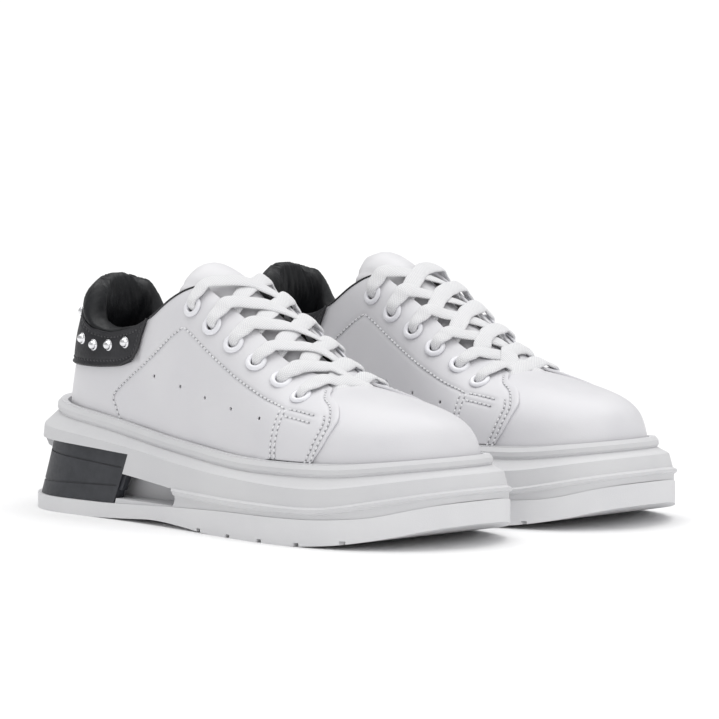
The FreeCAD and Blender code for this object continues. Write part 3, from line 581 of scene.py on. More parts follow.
def smooth_line(route, per_run=12):
    """Points along a smooth curve through a route of any dimension."""
    route = np.array(route, float)
    ends = np.concatenate([[2 * route[0] - route[1]], route, [2 * route[-1] - route[-2]]])
    line = []
    for k in range(len(route) - 1):
        a, b, c, d = ends[k:k + 4]
        line += [between(a, b, c, d, t) for t in np.arange(per_run) / per_run]
    line.append(route[-1])
    return np.array(line)


def seam(side, route, outside, curved=True):
    """Line of points and normals over the upper through (station, z) places."""
    line = smooth_line(route) if curved else np.array(route)
    return np.array([(*upper_offset(s, z, side, outside(s)), *upper_normal(s, z, side)) for s, z in line])


def channel(points, seams, depth, width):
    """How deep the stitching pulls the leather in at each point."""
    flat = points.reshape(-1, 3)
    nearest = np.full(len(flat), 1e9)
    for line in seams:
        for a, b in zip(line[:-1, :3], line[1:, :3]):
            run = b - a
            share = np.clip((flat - a) @ run / max(run @ run, 1e-9), 0, 1)
            nearest = np.minimum(nearest, np.linalg.norm(flat - a - share[:, None] * run, axis=1))
    return (depth * np.exp(-(nearest / width) ** 2)).reshape(points.shape[:2])


STITCH_PITCH = 2.5
STITCH_ENDS = [(-1.0, 0.15), (-0.72, 0.8), (-0.2, 1.0), (0.2, 1.0), (0.72, 0.8), (1.0, 0.15)]
THREAD_SIDES = 8
NEEDLE_RADIUS = 0.36


def stitches(seams, pitch=STITCH_PITCH, length=1.75, wide=0.5, tall=0.5, sink=0.1):
    """Sewn stitches along each seam, and sunken grey discs between them: painted shade for the needle holes.
    """
    threads, holes = [], []
    for line in seams:
        reach = run_along(line)
        count = max(2, int(reach[-1] / pitch))
        for i in range(count):
            middle = (i + 0.5) * reach[-1] / count
            here = np.array([np.interp(middle, reach, line[:, k]) for k in range(6)])
            nearby = np.array([np.interp(min(middle + 0.6, reach[-1]), reach, line[:, k]) for k in range(3)])
            behind = np.array([np.interp(max(middle - 0.6, 0), reach, line[:, k]) for k in range(3)])
            ahead = (nearby - behind) / np.linalg.norm(nearby - behind)
            up = here[3:] / np.linalg.norm(here[3:])
            lean = rng.uniform(-0.05, 0.05)
            aside = np.cross(up, ahead)
            ahead = ahead + aside * lean
            points = []
            for along, fat in STITCH_ENDS:
                dip = -0.25 * along * along
                for k in range(THREAD_SIDES):
                    angle = 2 * math.pi * k / THREAD_SIDES
                    points.append(here[:3] + ahead * along * length / 2
                                  + aside * wide * fat * math.cos(angle)
                                  + up * (tall * fat * math.sin(angle) + dip - sink))
            faces = grid_faces(len(STITCH_ENDS), THREAD_SIDES, wrap=True)
            faces.append(tuple(range(THREAD_SIDES))[::-1])
            faces.append(tuple(range(len(points) - THREAD_SIDES, len(points))))
            threads.append(Shape(points, faces))
            # A grey disc between this stitch and the next: painted shade for the needle hole.
            rim = []
            for k in range(THREAD_SIDES):
                angle = 2 * math.pi * k / THREAD_SIDES
                rim.append(here[:3] + ahead * (pitch / 2 + NEEDLE_RADIUS * math.cos(angle))
                           + aside * NEEDLE_RADIUS * math.sin(angle) + up * (0.04 - sink * 0.5))
            base = [p - up * 0.5 for p in rim]
            faces = grid_faces(2, THREAD_SIDES, wrap=True)
            faces += [tuple(range(THREAD_SIDES)), tuple(range(THREAD_SIDES, 2 * THREAD_SIDES))[::-1]]
            holes.append(Shape(rim + base, faces))
    return joined(threads), joined(holes)


def side_columns(side, first, last, count):
    def column(share):
        return lambda rise: (side, first + share * (last(rise) - first))
    return [column(share) for share in spread(0.0, 1.0, count)]


def heel_columns(count, end):
    def column(share):
        side = MEDIAL if share > 0 else LATERAL
        return lambda rise: (side, abs(share) * (90 + end(rise) - JOIN) - 90)
    return [column(share) for share in spread(-1.0, 1.0, count)]


def quarter_seams(side):
    """Stitch lines of a side panel: the facing's outline, two double rows, the front edge."""
    apex = (121.6, 93.2)
    back = [apex, (111, 87), (101.6, 80.5), (92, 74), (81, 67), (69, 58), (70.5, 51.6), (73.5, 46.2)]
    down = [apex, (130.6, 88.6), (140, 83.2), (158, 74), (177, 65.8), (195, 59)]
    rows = [back, down]
    for shift in (0.0, 3.0):
        rows.append([(193.6 + shift, 58.6), (194.4 + shift, 46.0), (195.2 + shift, foot_line(195) + 5.6)])
        rows.append([(197.5, 58.8 - shift), (206, 58.0 - shift), (214.5, 57.0 - shift)])
    lines = [seam(side, [(x - JOIN, z) for x, z in row], lap) for row in rows]
    for behind, top in ((3.0, 0.97), (6.0, 0.72)):
        route = []
        for rise in spread(0.12, top, 16):
            x = FRONT_EDGE(rise) - behind
            low, high = foot_line(x), rim_line(x)
            route.append((x - JOIN, low + rise * (high - low)))
        lines.append(seam(side, route, lap))
    return lines


TUCK = 0.8


def tucked(points):
    """Where a side panel lies under the heel band, so it never shows through: 1 inside, 0 outside."""
    under = [[smooth_step(-x, -TAB_EDGE(0.8) + 4.0, -TAB_EDGE(0.8) + 7.0) * smooth_step(z, 74.0, 77.0)
              for x, y, z in column] for column in points]
    return np.array(under)


def make_quarter(side):
    """Side panel: thin leather drawn in along its stitching, with slight body of its own."""
    columns = side_columns(side, BACK + 0.7, lambda rise: FRONT_EDGE(rise) - JOIN, 190)
    clear_bead = (CUP_DEPTH + 0.2) / QUARTER_LAP
    points, normals = panel_grid(columns, lambda t: upper_foot(t) + 0.15 + clear_bead * lap(t),
                                 lambda t: upper_rim(t) - TUCK * (1 - smooth_step(t, 34.0, 42.0)), lap, 64)
    lines = quarter_seams(side)
    draw = channel(points, lines, 0.5, 0.95)
    soft = 0.12 * np.sin(points[..., 0] / 9.0 + 2 * np.sin(points[..., 2] / 14.0)) - 0.12
    points = points + normals * (soft - draw - TUCK * tucked(points))[..., None]
    count, rows = points.shape[:2]
    shape = Shape(points.reshape(-1, 3), grid_faces(count, rows, flip=side == LATERAL))
    return shape, lines


def hole_cutter(spots, radius):
    """Pins through the upper at (x, z, side) spots, used to cut round holes."""
    pins = []
    for x, z, side in spots:
        where = upper_offset(x - JOIN, z, side, lap(x - JOIN) - 4.0)
        normal = upper_normal(x - JOIN, z, side)
        pins.append(turned([(0, 0), (radius, 0), (radius, 8.0), (0, 8.0)], where, normal, 20))
    return joined(pins)


def turned(profile, where, normal, sides=40):
    """Turned ring or dome: a profile of (radius, height) revolved about the normal."""
    turn = Vector((0, 0, 1)).rotation_difference(Vector(normal)).to_matrix()
    points, faces = [], []
    rings = []
    for radius, height in profile:
        if radius == 0:
            rings.append([len(points)])
            points.append(Vector(where) + turn @ Vector((0, 0, height)))
            continue
        ring = []
        for k in range(sides):
            angle = 2 * math.pi * k / sides
            ring.append(len(points))
            spoke = Vector((radius * math.cos(angle), radius * math.sin(angle), height))
            points.append(Vector(where) + turn @ spoke)
        rings.append(ring)
    for low, high in zip(rings, rings[1:] + ([rings[0]] if profile[0][0] else [])):
        for k in range(sides):
            n = (k + 1) % sides
            if len(low) == 1 and len(high) == 1:
                continue
            if len(low) == 1:
                faces.append((low[0], high[n], high[k]))
            elif len(high) == 1:
                faces.append((low[k], low[n], high[0]))
            else:
                faces.append((low[k], low[n], high[n], high[k]))
    return Shape(points, faces)


def eyelet_spots():
    spots = []
    for side in SIDES:
        for i in range(EYELET_COUNT):
            f = i / (EYELET_COUNT - 1)
            spots.append((EYELET_FIRST[0] + f * (EYELET_LAST[0] - EYELET_FIRST[0]),
                          EYELET_FIRST[1] + f * (EYELET_LAST[1] - EYELET_FIRST[1]), side))
    return spots


EYELET_PROFILE = [(2.6, -2.8), (2.6, 0.5), (2.7, 0.95), (3.05, 1.25), (3.6, 1.36), (4.2, 1.27), (4.75, 1.0),
                  (5.1, 0.62), (5.2, 0.3), (5.1, 0.06), (3.1, 0.02), (3.1, -2.8)]
STUD_PROFILE = [(0, 0.1), (2.75, 0.1), (2.8, 0.4), (2.7, 0.62), (2.45, 0.7), (2.25, 0.82), (2.15, 1.25),
                (1.9, 1.85), (1.5, 2.35), (1.0, 2.68), (0.5, 2.84), (0, 2.88)]


def make_eyelets():
    rings = []
    for x, z, side in eyelet_spots():
        station = x - JOIN
        rings.append(turned(EYELET_PROFILE, upper_offset(station, z, side, lap(station)),
                            upper_normal(station, z, side), 48))
    return joined(rings)


def make_studs():
    level = PLY_GAP + TAB_LEATHER
    domes = []
    for station, z in STUD_ROW + STUD_UPPER:
        for side in SIDES:
            domes.append(turned(STUD_PROFILE, upper_offset(station, z, side, level),
                                upper_normal(station, z, side), 40))
    return joined(domes)


def make_heel_tab():
    """Band round the collar, with its stitching sunk in."""
    level = PLY_GAP + TAB_LEATHER
    points, normals = panel_grid(heel_columns(200, TAB_EDGE), TAB_LOW, lambda t: upper_rim(t) + 0.3,
                                 lambda t: level, 30)
    lines = []
    for side in SIDES:
        low_row = [(t, TAB_LOW(t) + 3.0) for t in spread(BACK + 0.8, 18.0, 22)]
        front = [(TAB_EDGE(r) - 3.0 - JOIN, TAB_LOW(28) + r * (93.5 - TAB_LOW(28)))
                 for r in spread(0.14, 0.95, 10)]
        top_row = [(t, upper_rim(t) - 2.4) for t in spread(BACK + 0.8, 34.0, 24)]
        lines += [seam(side, low_row + front, lambda t: level), seam(side, top_row, lambda t: level)]
    draw = channel(points, lines, 0.35, 0.9)
    bulge = 0.35 * np.sin(np.linspace(0, math.pi, points.shape[1]))[None, :]
    points = points + normals * (bulge - draw)[..., None]
    shape = Shape(points.reshape(-1, 3), grid_faces(*points.shape[:2], flip=False))
    return shape, lines


# ---------------------------------------------------------------- vamp

def vamp_plan(share, rho):
    first, last = VAMP_ENDS
    outer = outline_point(first + (last - first) * share, UPPER_INSET)
    inner = Vector((194.0 + 13.0 * math.sin(math.pi * share), -14.5 * math.cos(math.pi * share), 0))
    return inner + (outer - inner) * rho


VAMP_ENDS = share_at(206.0, LATERAL), share_at(206.0, MEDIAL)


def vamp_raw(share, rho):
    plan = vamp_plan(share, min(rho, 0.9995))
    foot = foot_line(plan.x)
    plan.z = foot + (dome_height(plan.x, plan.y) - foot) * (1 - min(rho, 0.9995) ** 40) ** 0.6
    return plan


def vamp_point(share, rho, offset):
    point = vamp_raw(share, rho)
    along = vamp_raw(share + 0.004, rho) - vamp_raw(share - 0.004, rho)
    inward = vamp_raw(share, max(rho - 0.006, 0.0)) - vamp_raw(share, min(rho + 0.004, 0.9995))
    normal = along.cross(inward).normalized()
    if normal.z < 0:
        normal = -normal
    return point + normal * offset


def make_vamp():
    columns, rows = 110, 46
    points = []
    for share in spread(0.0, 1.0, columns):
        chain = [vamp_point(share, 0.999 * (1 - math.sin(math.pi / 2 * step) ** 2), 0.0)
                 for step in spread(0.0, 1.0, DENSE)]
        points.append(even_chain(chain, rows))
    return Shape(np.array(points).reshape(-1, 3), grid_faces(columns, rows, flip=True))


# ---------------------------------------------------------------- padded pieces

COLLAR_PRESSURE = 20.0
TONGUE_PRESSURE = 12.0


def inflate(shape, held, pressure, cap):
    """Lets a closed padded piece swell as cloth, no further than cap, held where it is sewn."""
    obj = new_object("swelling", shape.points * 0.001, shape.faces)
    outward(obj)
    group = obj.vertex_groups.new(name="held")
    for index, weight in enumerate(held):
        if weight > 0:
            group.add([index], float(weight), "REPLACE")
    cloth = obj.modifiers.new("cloth", "CLOTH")
    cloth.settings.vertex_group_mass = "held"
    cloth.settings.use_pressure = True
    cloth.settings.uniform_pressure_force = pressure
    cloth.settings.effector_weights.gravity = 0
    cloth.settings.tension_stiffness = cloth.settings.compression_stiffness = 12
    cloth.settings.bending_stiffness = 0.4
    cloth.settings.quality = 4
    scene = bpy.context.scene
    for step in range(1, 21):
        scene.frame_set(step)
    graph = bpy.context.evaluated_depsgraph_get()
    moved = np.empty(len(obj.data.vertices) * 3)
    obj.evaluated_get(graph).data.vertices.foreach_get("co", moved)
    moved = moved.reshape(-1, 3) * 1000
    scene.frame_set(1)
    bpy.data.objects.remove(obj)
    shift = moved - shape.points
    far = np.linalg.norm(shift, axis=1, keepdims=True)
    shift *= np.minimum(1.0, cap / np.maximum(far, 1e-9))
    return Shape(shape.points + shift, shape.faces)


def closed_smooth(points, count):
    """Even points round a smooth closed loop."""
    p = np.array([tuple(q) for q in points])
    line = []
    total = len(p)
    for k in range(total):
        a, b, c, d = p[k - 1], p[k], p[(k + 1) % total], p[(k + 2) % total]
        line += [between(a, b, c, d, t) for t in np.arange(10) / 10]
    line.append(line[0])
    return even_chain(line, count, closed=True)


PAD_LINE = through((-90, 1.0), (0, 1.0), (30, 0.75), (57, 0.32))
CROWN_LINE = through((-90, 14.0), (-60, 15.0), (-42, 17.0), (-30, 17.0), (-18, 12.5), (-5, 6.0), (8, 2.2),
                     (57, 1.0))
PAD_LOW, PAD_HIGH = 2.0, 7.5
COLLAR_LOOP = 48
COLLAR_END = 147.0


def collar_section(signed):
    side = MEDIAL if signed > 0 else LATERAL
    station = abs(signed) - 90
    foot, rim = upper_foot(station), upper_rim(station)
    level = -LEATHER - 2 * PLY_GAP - 1.0
    high, crown = PAD_HIGH * PAD_LINE(station), CROWN_LINE(station)
    roll = 1.0 - 0.55 * smooth_step(station, -5.0, 30.0)

    def inner(z, pad):
        return upper_offset(station, z, side, level - pad)
    return [upper_offset(station, foot + 0.5, side, level),
            upper_offset(station, foot + 0.5 * (rim - foot), side, level),
            upper_offset(station, rim - 4.0, side, level),
            upper_offset(station, rim + 0.25, side, level + (0.8 - level) * roll),
            upper_offset(station, rim + 0.45 * crown, side, level + (0.9 - level) * roll),
            inner(rim + crown * 0.95, high * 0.06), inner(rim + crown * 1.02, high * 0.5),
            inner(rim + crown * 0.8, high * 0.86), inner(rim + crown * 0.2 - 2.0, high),
            inner(foot + 0.7 * (rim - foot), high * 0.8), inner(foot + 0.45 * (rim - foot), PAD_LOW),
            inner(foot + 0.5, PAD_LOW)]


def loop_normals(points):
    """Outward normals of a tube of closed loops, by differences."""
    along = np.gradient(points, axis=0)
    around = np.roll(points, -1, 1) - np.roll(points, 1, 1)
    normal = np.cross(along, around)
    normal /= np.maximum(np.linalg.norm(normal, axis=2, keepdims=True), 1e-9)
    centre = points.mean(axis=1, keepdims=True)
    flip = np.sign(((points - centre) * normal).sum(axis=(1, 2)))
    return normal * flip[:, None, None]


def gathers(along, across, spacing, depth):
    """Fine uneven folds that run across a padded edge."""
    total = np.zeros(along.shape)
    for order in range(4):
        pitch = spacing * rng.uniform(0.75, 1.5) * (1 + order * 0.5)
        phase, sway = rng.uniform(0, 6.28, 2)
        wander = 1.3 * np.sin(across * 2.4 + sway) + 1.7 * np.sin(along / 23.0 + sway)
        wave = np.sin(2 * math.pi * along / pitch + phase + wander)
        total -= (1 - np.abs(wave)) ** 3 * rng.uniform(0.5, 1.0)
    return total * depth


def make_collar():
    count = 170
    signed = spread(-COLLAR_END, COLLAR_END, count)
    points = np.array([closed_smooth(collar_section(s), COLLAR_LOOP) for s in signed])
    faces = tube_faces(count, COLLAR_LOOP)
    share = np.arange(COLLAR_LOOP) / COLLAR_LOOP
    held = np.where((share < 0.36) | (share > 0.78), 1.0, 0.0)
    held = np.tile(held, count)
    held[:2 * COLLAR_LOOP] = held[-2 * COLLAR_LOOP:] = 1.0
    shape = inflate(Shape(points.reshape(-1, 3), faces), held, COLLAR_PRESSURE, 1.2)
    points = shape.points.reshape(count, COLLAR_LOOP, 3)
    normals = loop_normals(points)
    middle = points.mean(axis=1)
    run = run_along(middle)
    along = np.repeat(run[:, None], COLLAR_LOOP, 1)
    across = np.tile(share * 6.28, (count, 1))
    crown = np.exp(-((share - 0.5) / 0.16) ** 2)[None, :]
    heel = np.exp(-(np.abs(np.array(signed)) / 70.0) ** 4)[:, None]
    folds = gathers(along, across, 5.2, 0.3) * crown * (0.3 + 0.7 * heel)
    fine = gathers(along, across * 1.7, 2.9, 0.16) * crown
    ease = np.minimum(1, np.minimum(np.arange(count), np.arange(count)[::-1]) / 4.0)[:, None]
    points = points + normals * ((folds + fine) * ease)[..., None]
    return Shape(points.reshape(-1, 3), faces)


TONGUE_LINE = through((101, 119.0), (111, 121.8), (122, 118.5), (133, 111.0), (150, 99.2), (165, 89.8),
                      (180, 80.6), (195, 71.6), (206, 65.6))
TONGUE_HALF = through((101, 17.5), (108, 19.4), (114, 19.2), (122, 18.2), (131, 17.8), (150, 16.6),
                      (180, 14.8), (206, 11.4))
TONGUE_DROP = through((101, 10.0), (112, 10.0), (131, 8.5), (180, 6.5), (206, 3.0))
TONGUE_THICK = 6.0
MEDIAL_SHARE = 0.94
TONGUE_START, TONGUE_END = 101.0, 206.0
TONGUE_LOOP = 44


def tongue_loop(x):
    """Closed pillow section of the tongue at x."""
    start = min(1.0, (x - TONGUE_START) / 9.0)
    round_end = math.sqrt(max(0.0, 1 - (1 - start) ** 2))
    thin = (1 - 0.55 * max(0.0, (x - 185.0) / 21.0)) * (0.25 + 0.75 * round_end)
    points = []
    for k in range(TONGUE_LOOP):
        angle = 2 * math.pi * k / TONGUE_LOOP
        across, up = math.cos(angle), math.sin(angle)
        across = math.copysign(abs(across) ** 0.8, across)
        side = MEDIAL if across > 0 else LATERAL
        narrow = MEDIAL_SHARE * half_width(x, side) / half_width(x, LATERAL) if side == MEDIAL else 1.0
        wide = TONGUE_HALF(x) * narrow * (0.62 + 0.38 * round_end)
        thick = TONGUE_THICK * thin * math.copysign(abs(up) ** 0.7, up) / 2
        top = TONGUE_LINE(x) - TONGUE_DROP(x) * across * across - TONGUE_THICK * thin / 2
        points.append((x, across * wide, top + thick))
    return points


def make_tongue():
    count = 84
    xs = spread(TONGUE_START, TONGUE_END, count)
    points = np.array([tongue_loop(x) for x in xs])
    faces = tube_faces(count, TONGUE_LOOP)
    angles = 2 * math.pi * np.arange(TONGUE_LOOP) / TONGUE_LOOP
    held = np.tile(np.where(np.abs(np.sin(angles)) < 0.35, 1.0, 0.0), count)
    held[:TONGUE_LOOP] = held[-TONGUE_LOOP:] = 1.0
    shape = inflate(Shape(points.reshape(-1, 3), faces), held, TONGUE_PRESSURE, 1.0)
    points = shape.points.reshape(count, TONGUE_LOOP, 3)
    normals = loop_normals(points)
    across = np.cos(angles)[None, :]
    ridge = -0.5 * np.exp(-((np.abs(across) - 0.86) / 0.05) ** 2)
    top = np.sin(angles)[None, :] > 0.1
    buckle = 0.2 * np.sin(points[..., 0] / 5.0 + 2.0 * np.sin(points[..., 1] / 8.0))
    points = points + normals * (np.where(top, ridge, 0) + buckle)[..., None]
    return Shape(points.reshape(-1, 3), faces)


INSOLE_INSET, INSOLE_HEEL_DRAW = 21.5, 9.5


def make_insole():
    """Soft foam insole with a rounded rim, trimmed to the foot bed's curve."""
    count, rings = 120, 26
    under = [(0.0, -1.0), (0.97, -1.0), (1.0, -0.4), (1.0, 0.2), (0.975, 0.75)]
    points = []
    for share in spread(0.0, 1.0, count + 1)[:-1]:
        edge = outline_point(share, INSOLE_INSET, INSOLE_HEEL_DRAW)
        spine = Vector((min(max(edge.x, 40.0), 235.0), 0.0, 0.0))
        column = []
        for rho, level in under + [(rho, 1.0) for rho in spread(0.94, 0.0, rings - len(under))]:
            at = spine + (edge - spine) * rho
            cup = 1.2 * max(0.0, rho - 0.7) / 0.3 if level > 0 else 0.0
            column.append((at.x, at.y, foot_line(at.x) + 2 * PLY_GAP + 1.8 + 2.0 * (1 + level) + cup * 0.5))
        points.append(column)
    points = np.array(points).transpose(1, 0, 2)
    return Shape(points.reshape(-1, 3), grid_faces(rings, count, wrap=True))


# ---------------------------------------------------------------- laces

LACE_WIDTH, LACE_THICK = 8.4, 1.7
LACE_SECTION = 16
LACE_STEP = 0.8
THROAT_UP = Vector((0.47, 0, 0.88))


def throat_point(x, across, lift):
    """Point over the tongue at a share of the throat's half width."""
    edge_z = rim_line(x)
    edge_y = side_y(x, edge_z, LATERAL)
    crown = TONGUE_LINE(x) + 1.4 - edge_z
    return Vector((x, across * edge_y, edge_z + crown * (1 - across * across) + lift))


def lace_run(start, stop, side, over):
    """Route of one run: (point, up, width) from inside its eyelet, over the throat, under the far facing."""
    x0, z0 = start
    x1 = stop[0]
    t0 = x0 - JOIN
    out = upper_normal(t0, z0, side)
    base = upper_offset(t0, z0, side, lap(t0))
    toward = upper_offset(t0 + 0.5, z0 + 4.0, side, lap(t0 + 0.5)) - base
    toward.normalize()
    edge = upper_offset(t0 + 1.5, rim_line(x0 + 1.5) - 0.4, side, lap(t0) + 2.0)
    near_up = (out + THROAT_UP * 0.6).normalized()
    route = [(base - out * 2.2 - toward * 0.8, toward * -1 + out * 0.2, 0.55),
             (base + out * 0.9 + toward * 0.2, (out - toward * 0.8).normalized(), 0.6),
             (base + out * 2.6 + toward * 2.9, out, 0.74),
             ((base + out * 2.4 + toward * 2.9 + edge) * 0.5 + out * 0.7, near_up, 0.92),
             (edge + THROAT_UP * 0.7, near_up, 1.0)]
    for f in (0.26, 0.44, 0.62, 0.8, 0.93):
        x = x0 + 2.0 + (x1 + 3.5 - x0 - 2.0) * f
        across = side * (1 - 2 * f)
        rise = over * math.exp(-((f - 0.44) / 0.3) ** 2)
        fall = -1.6 * smooth_step(f, 0.78, 0.95)
        up = (THROAT_UP + Vector((0, across * 0.5, 0))).normalized()
        route.append((throat_point(x, across, 0.9 + rise + fall), up, 1.0 - 0.1 * smooth_step(f, 0.8, 1)))
    far_side = -side
    dive = upper_offset(x1 + 3.5 - JOIN, rim_line(x1 + 3.5) - 5.0, far_side, -LEATHER - 3.4)
    route.append((dive, (THROAT_UP + Vector((0, far_side, 0))).normalized(), 0.8))
    return route


def band(route, seed, width=LACE_WIDTH, thick=LACE_THICK):
    """Soft flat woven band along a route of (point, up, width share)."""
    rows = smooth_line([(*p, *u, w) for p, u, w in route], 9)
    length = run_along(rows)[-1]
    count = int(length / LACE_STEP)
    targets = np.linspace(0, length, count)
    rows = even_chain(rows, count)
    ahead = np.gradient(rows[:, :3], axis=0)
    ahead /= np.linalg.norm(ahead, axis=1, keepdims=True)
    aside = np.cross(ahead, rows[:, 3:6])
    aside /= np.linalg.norm(aside, axis=1, keepdims=True)
    up = np.cross(aside, ahead)
    draw = np.random.default_rng(seed)
    phases = draw.uniform(0, 6.28, 4)
    points, uv = [], []
    for i in range(count):
        s = targets[i]
        share = rows[i, 6]
        ripple = 0.05 * math.sin(s / 4.3 + phases[0]) + 0.03 * math.sin(s / 1.9 + phases[1])
        wide = width / 2 * share * (1 + ripple)
        high = thick / 2 * (1 + 0.75 * (1 - share)) * (1 + 0.06 * math.sin(s / 2.7 + phases[2]))
        roll = 0.10 * math.sin(s / 11.0 + phases[3])
        curl = 0.35 * share
        for k in range(LACE_SECTION):
            angle = 2 * math.pi * k / LACE_SECTION
            a, b = math.cos(angle), math.sin(angle)
            across = math.copysign(abs(a) ** 0.75, a) * wide
            lift = math.copysign(abs(b) ** 0.85, b) * high * (1 - 0.12 * a * a)
            lift += roll * across - curl * (a * a)
            points.append(rows[i, :3] + aside[i] * across + up[i] * lift)
            uv.append((across, s + (0 if b > 0 else 1.4)))
    faces = tube_faces(count, LACE_SECTION)
    return Shape(points, faces, np.array(uv))


def make_laces():
    spots = {LATERAL: [], MEDIAL: []}
    for x, z, side in eyelet_spots():
        spots[side].append((x, z))
    bands = []
    for side in SIDES:
        over = 1.9 if side == LATERAL else 0.0
        for i in range(EYELET_COUNT):
            last = i == EYELET_COUNT - 1
            stop = (spots[-side][i][0] + 4.0, 0.0) if last else spots[-side][i + 1]
            bands.append(band(lace_run(spots[side][i], stop, side, over), 11 * i + side + 3))
    return joined(bands)


EDGE_WIDTH, EDGE_THICK = 1.1, 0.9


def make_edging():
    """Thin dark edging: round the heel band, and along the collar rim up to the facing."""
    level = PLY_GAP + TAB_LEATHER
    strips = []
    for side in SIDES:
        low = [(t, TAB_LOW(t) + 0.7, level) for t in spread(BACK + 0.8, 20.0, 22)]
        front = [(TAB_EDGE(f) - 0.7 - JOIN, TAB_LOW(28) + f * (95.5 - TAB_LOW(28)), level)
                 for f in spread(0.1, 1.0, 9)]
        rim = [(t, upper_rim(t) + 0.15, lap(t) + 0.05) for t in spread(41.0, 70.0, 12)]
        for seed, line in enumerate((low + front, rim)):
            route = [(upper_offset(t, z, side, out), upper_normal(t, z, side), 1.0) for t, z, out in line]
            strips.append(band(route, seed, EDGE_WIDTH, EDGE_THICK))
    return joined(strips)


# ---------------------------------------------------------------- the pair

quarters = {side: make_quarter(side) for side in SIDES}
holes = {side: hole_cutter([spot for spot in eyelet_spots() if spot[2] == side], EYELET_HOLE)
         for side in SIDES}
pricks = {side: hole_cutter([(x, z, side) for x, z in PERFORATIONS], PUNCH_HOLE) for side in SIDES}
seams = quarters[LATERAL][1] + quarters[MEDIAL][1]
white_stitches, needle_shade_pieces = stitches(seams)
tab, tab_seams = make_heel_tab()
dark_stitches = stitches(tab_seams, 2.4, 1.7, 0.5, 0.42)[0]
vamp = make_vamp()
collar = make_collar()
tongue = make_tongue()
insole = make_insole()
laces = make_laces()
eyelets = make_eyelets()
studs = make_studs()
edging = make_edging()

PLAIN_PIECES = [
    ("panel_stitching", white_stitches, "white_thread", "lace_weave", []),
    # Grey discs between the white stitches: painted shade for the needle holes.
    ("needle_shade_discs", needle_shade_pieces, "painted_needle_shade", "lining_cloth", []),
    ("band_stitching", dark_stitches, "dark_thread", "black_leather", []),
    ("edge_piping", edging, "piping", "black_leather", []),
    ("eyelet_rings", eyelets, "eyelet_plastic", "eyelet_plastic", ["eyelets"]),
    ("stud_domes", studs, "stud_metal", "stud_metal", ["studs"]),
    ("lace_runs", laces, "lace_weave", "lace_weave", ["laces"]),
]

for shoe in SHOES:
    for side, word in SIDES.items():
        obj = place(quarters[side][0], shoe, "quarter_panel_" + word, MAT["white_leather"], "shoe",
                    "white_leather", ["quarter_" + word], thick=LEATHER, bevel=0.45)
        drill = joined([holes[side], pricks[side]])
        faces = drill.faces if SHOES[shoe] > 0 else [face[::-1] for face in drill.faces]
        cutter = new_object("cutter", to_world(drill.points, shoe), faces)
        outward(cutter)
        cut = obj.modifiers.new("holes", "BOOLEAN")
        cut.object = cutter
        cut.solver = "EXACT"
        applied(obj)
        bpy.data.objects.remove(cutter)
    place(vamp, shoe, "vamp_panel", MAT["white_leather"], "shoe", "white_leather", ["vamp"], thick=LEATHER,
          bevel=0.45)
    place(tab, shoe, "heel_band", MAT["black_leather"], "shoe", "black_leather", ["heel_tab"],
          thick=TAB_LEATHER, bevel=0.4)
    for name, shape, look, slot, nodes in PLAIN_PIECES:
        place(shape, shoe, name, MAT[look], "shoe", slot, nodes)
    pad = place(collar, shoe, "collar_pad", MAT["black_lining"], "shoe", "black_lining", ["collar_lining"])
    flap = place(tongue, shoe, "tongue_pad", MAT["tongue_leather"], "tongue_flap", "tongue_leather",
                 ["tongue"])
    bed = place(insole, shoe, "insole_pad", MAT["insole_cloth"], "insole_liner", "insole_cloth", ["insole"])

CAD_MATERIALS = {
    "outsole": "outsole_rubber", "midsole": "midsole_foam", "heel_clip": "clip_plastic",
    "insole_board": "board", "shank": "shank_steel",
    "eyestay_backer_lateral": "backer", "eyestay_backer_medial": "backer",
    "quarter_lining_lateral": "lining_cloth", "quarter_lining_medial": "lining_cloth",
    "vamp_lining": "lining_cloth", "toe_puff": "stiffener", "heel_counter": "stiffener",
}
for shoe in SHOES:
    for node, word in CAD_MATERIALS.items():
        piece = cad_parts[shoe + "_" + node]
        if not piece.material_slots:
            piece.data.materials.append(MAT[word])
        for held in piece.material_slots:
            held.material = MAT[word]

# ---------------------------------------------------------------- floor, light and camera

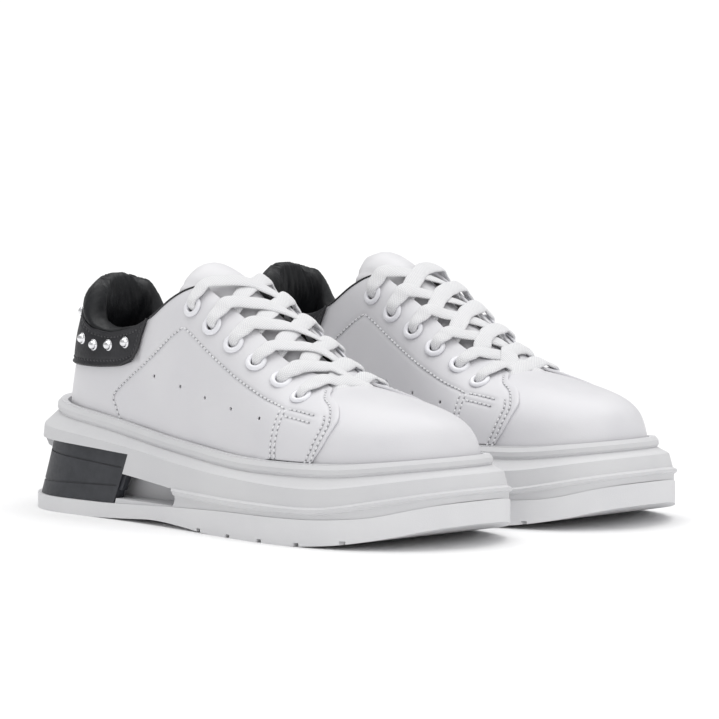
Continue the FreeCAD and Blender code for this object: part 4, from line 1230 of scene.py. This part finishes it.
FLOOR_REACH = 40.0
floor = new_object("floor", [(-FLOOR_REACH, -FLOOR_REACH, 0), (FLOOR_REACH, -FLOOR_REACH, 0),
                             (FLOOR_REACH, FLOOR_REACH, 0), (-FLOOR_REACH, FLOOR_REACH, 0)], [(0, 1, 2, 3)])
floor_material, floor_tree, floor_shader, floor_place = make_material("floor")
tint = noise(floor_tree, floor_place, 6.0)
floor_tree.links.new(blend_colour(floor_tree, tint, (0.93, 0.93, 0.935), (0.95, 0.95, 0.95)),
                     floor_shader.inputs["Base Color"])
floor_shader.inputs["Roughness"].default_value = 0.8
floor.data.materials.append(floor_material)

scene = bpy.context.scene
world = bpy.data.worlds.new("studio")
world.use_nodes = True
world.node_tree.nodes["Background"].inputs["Color"].default_value = (1.0, 1.0, 1.0, 1)
world.node_tree.nodes["Background"].inputs["Strength"].default_value = 0.56
scene.world = world
scene.view_settings.view_transform = "Standard"


def soft_sun(name, toward, strength, spread_angle):
    """Broad even light from a direction, the same all over the floor."""
    lamp = bpy.data.lights.new(name, "SUN")
    lamp.energy = strength
    lamp.angle = math.radians(spread_angle)
    obj = bpy.data.objects.new(name, lamp)
    obj.rotation_mode = "QUATERNION"
    obj.rotation_quaternion = Vector(toward).to_track_quat("Z", "Y")
    scene.collection.objects.link(obj)


soft_sun("overhead", (-0.1, 0.1, 1.0), 1.7, 70.0)
soft_sun("front", (0.9, -0.25, 0.75), 0.5, 50.0)

PHOTO_SIZE, FOCAL_PIXELS, SENSOR = 719.0, 5225.0, 36.0
azimuth, elevation, distance = math.radians(45.0), math.radians(4.7), 2.5
right = Vector((math.cos(azimuth), math.sin(azimuth), 0))
back = Vector((math.sin(azimuth) * math.cos(elevation), -math.cos(azimuth) * math.cos(elevation),
               math.sin(elevation)))
aim = Vector((0, 0, 0.060)) + right * 0.00575 + back.cross(right) * 0.0140
lens = bpy.data.cameras.new("camera")
lens.sensor_width = SENSOR
lens.lens = SENSOR * FOCAL_PIXELS / PHOTO_SIZE
lens.clip_end = 150.0
camera = bpy.data.objects.new("camera", lens)
camera.location = aim + back * distance
camera.rotation_mode = "QUATERNION"
camera.rotation_quaternion = (-back).to_track_quat("-Z", "Y")
scene.collection.objects.link(camera)
scene.camera = camera
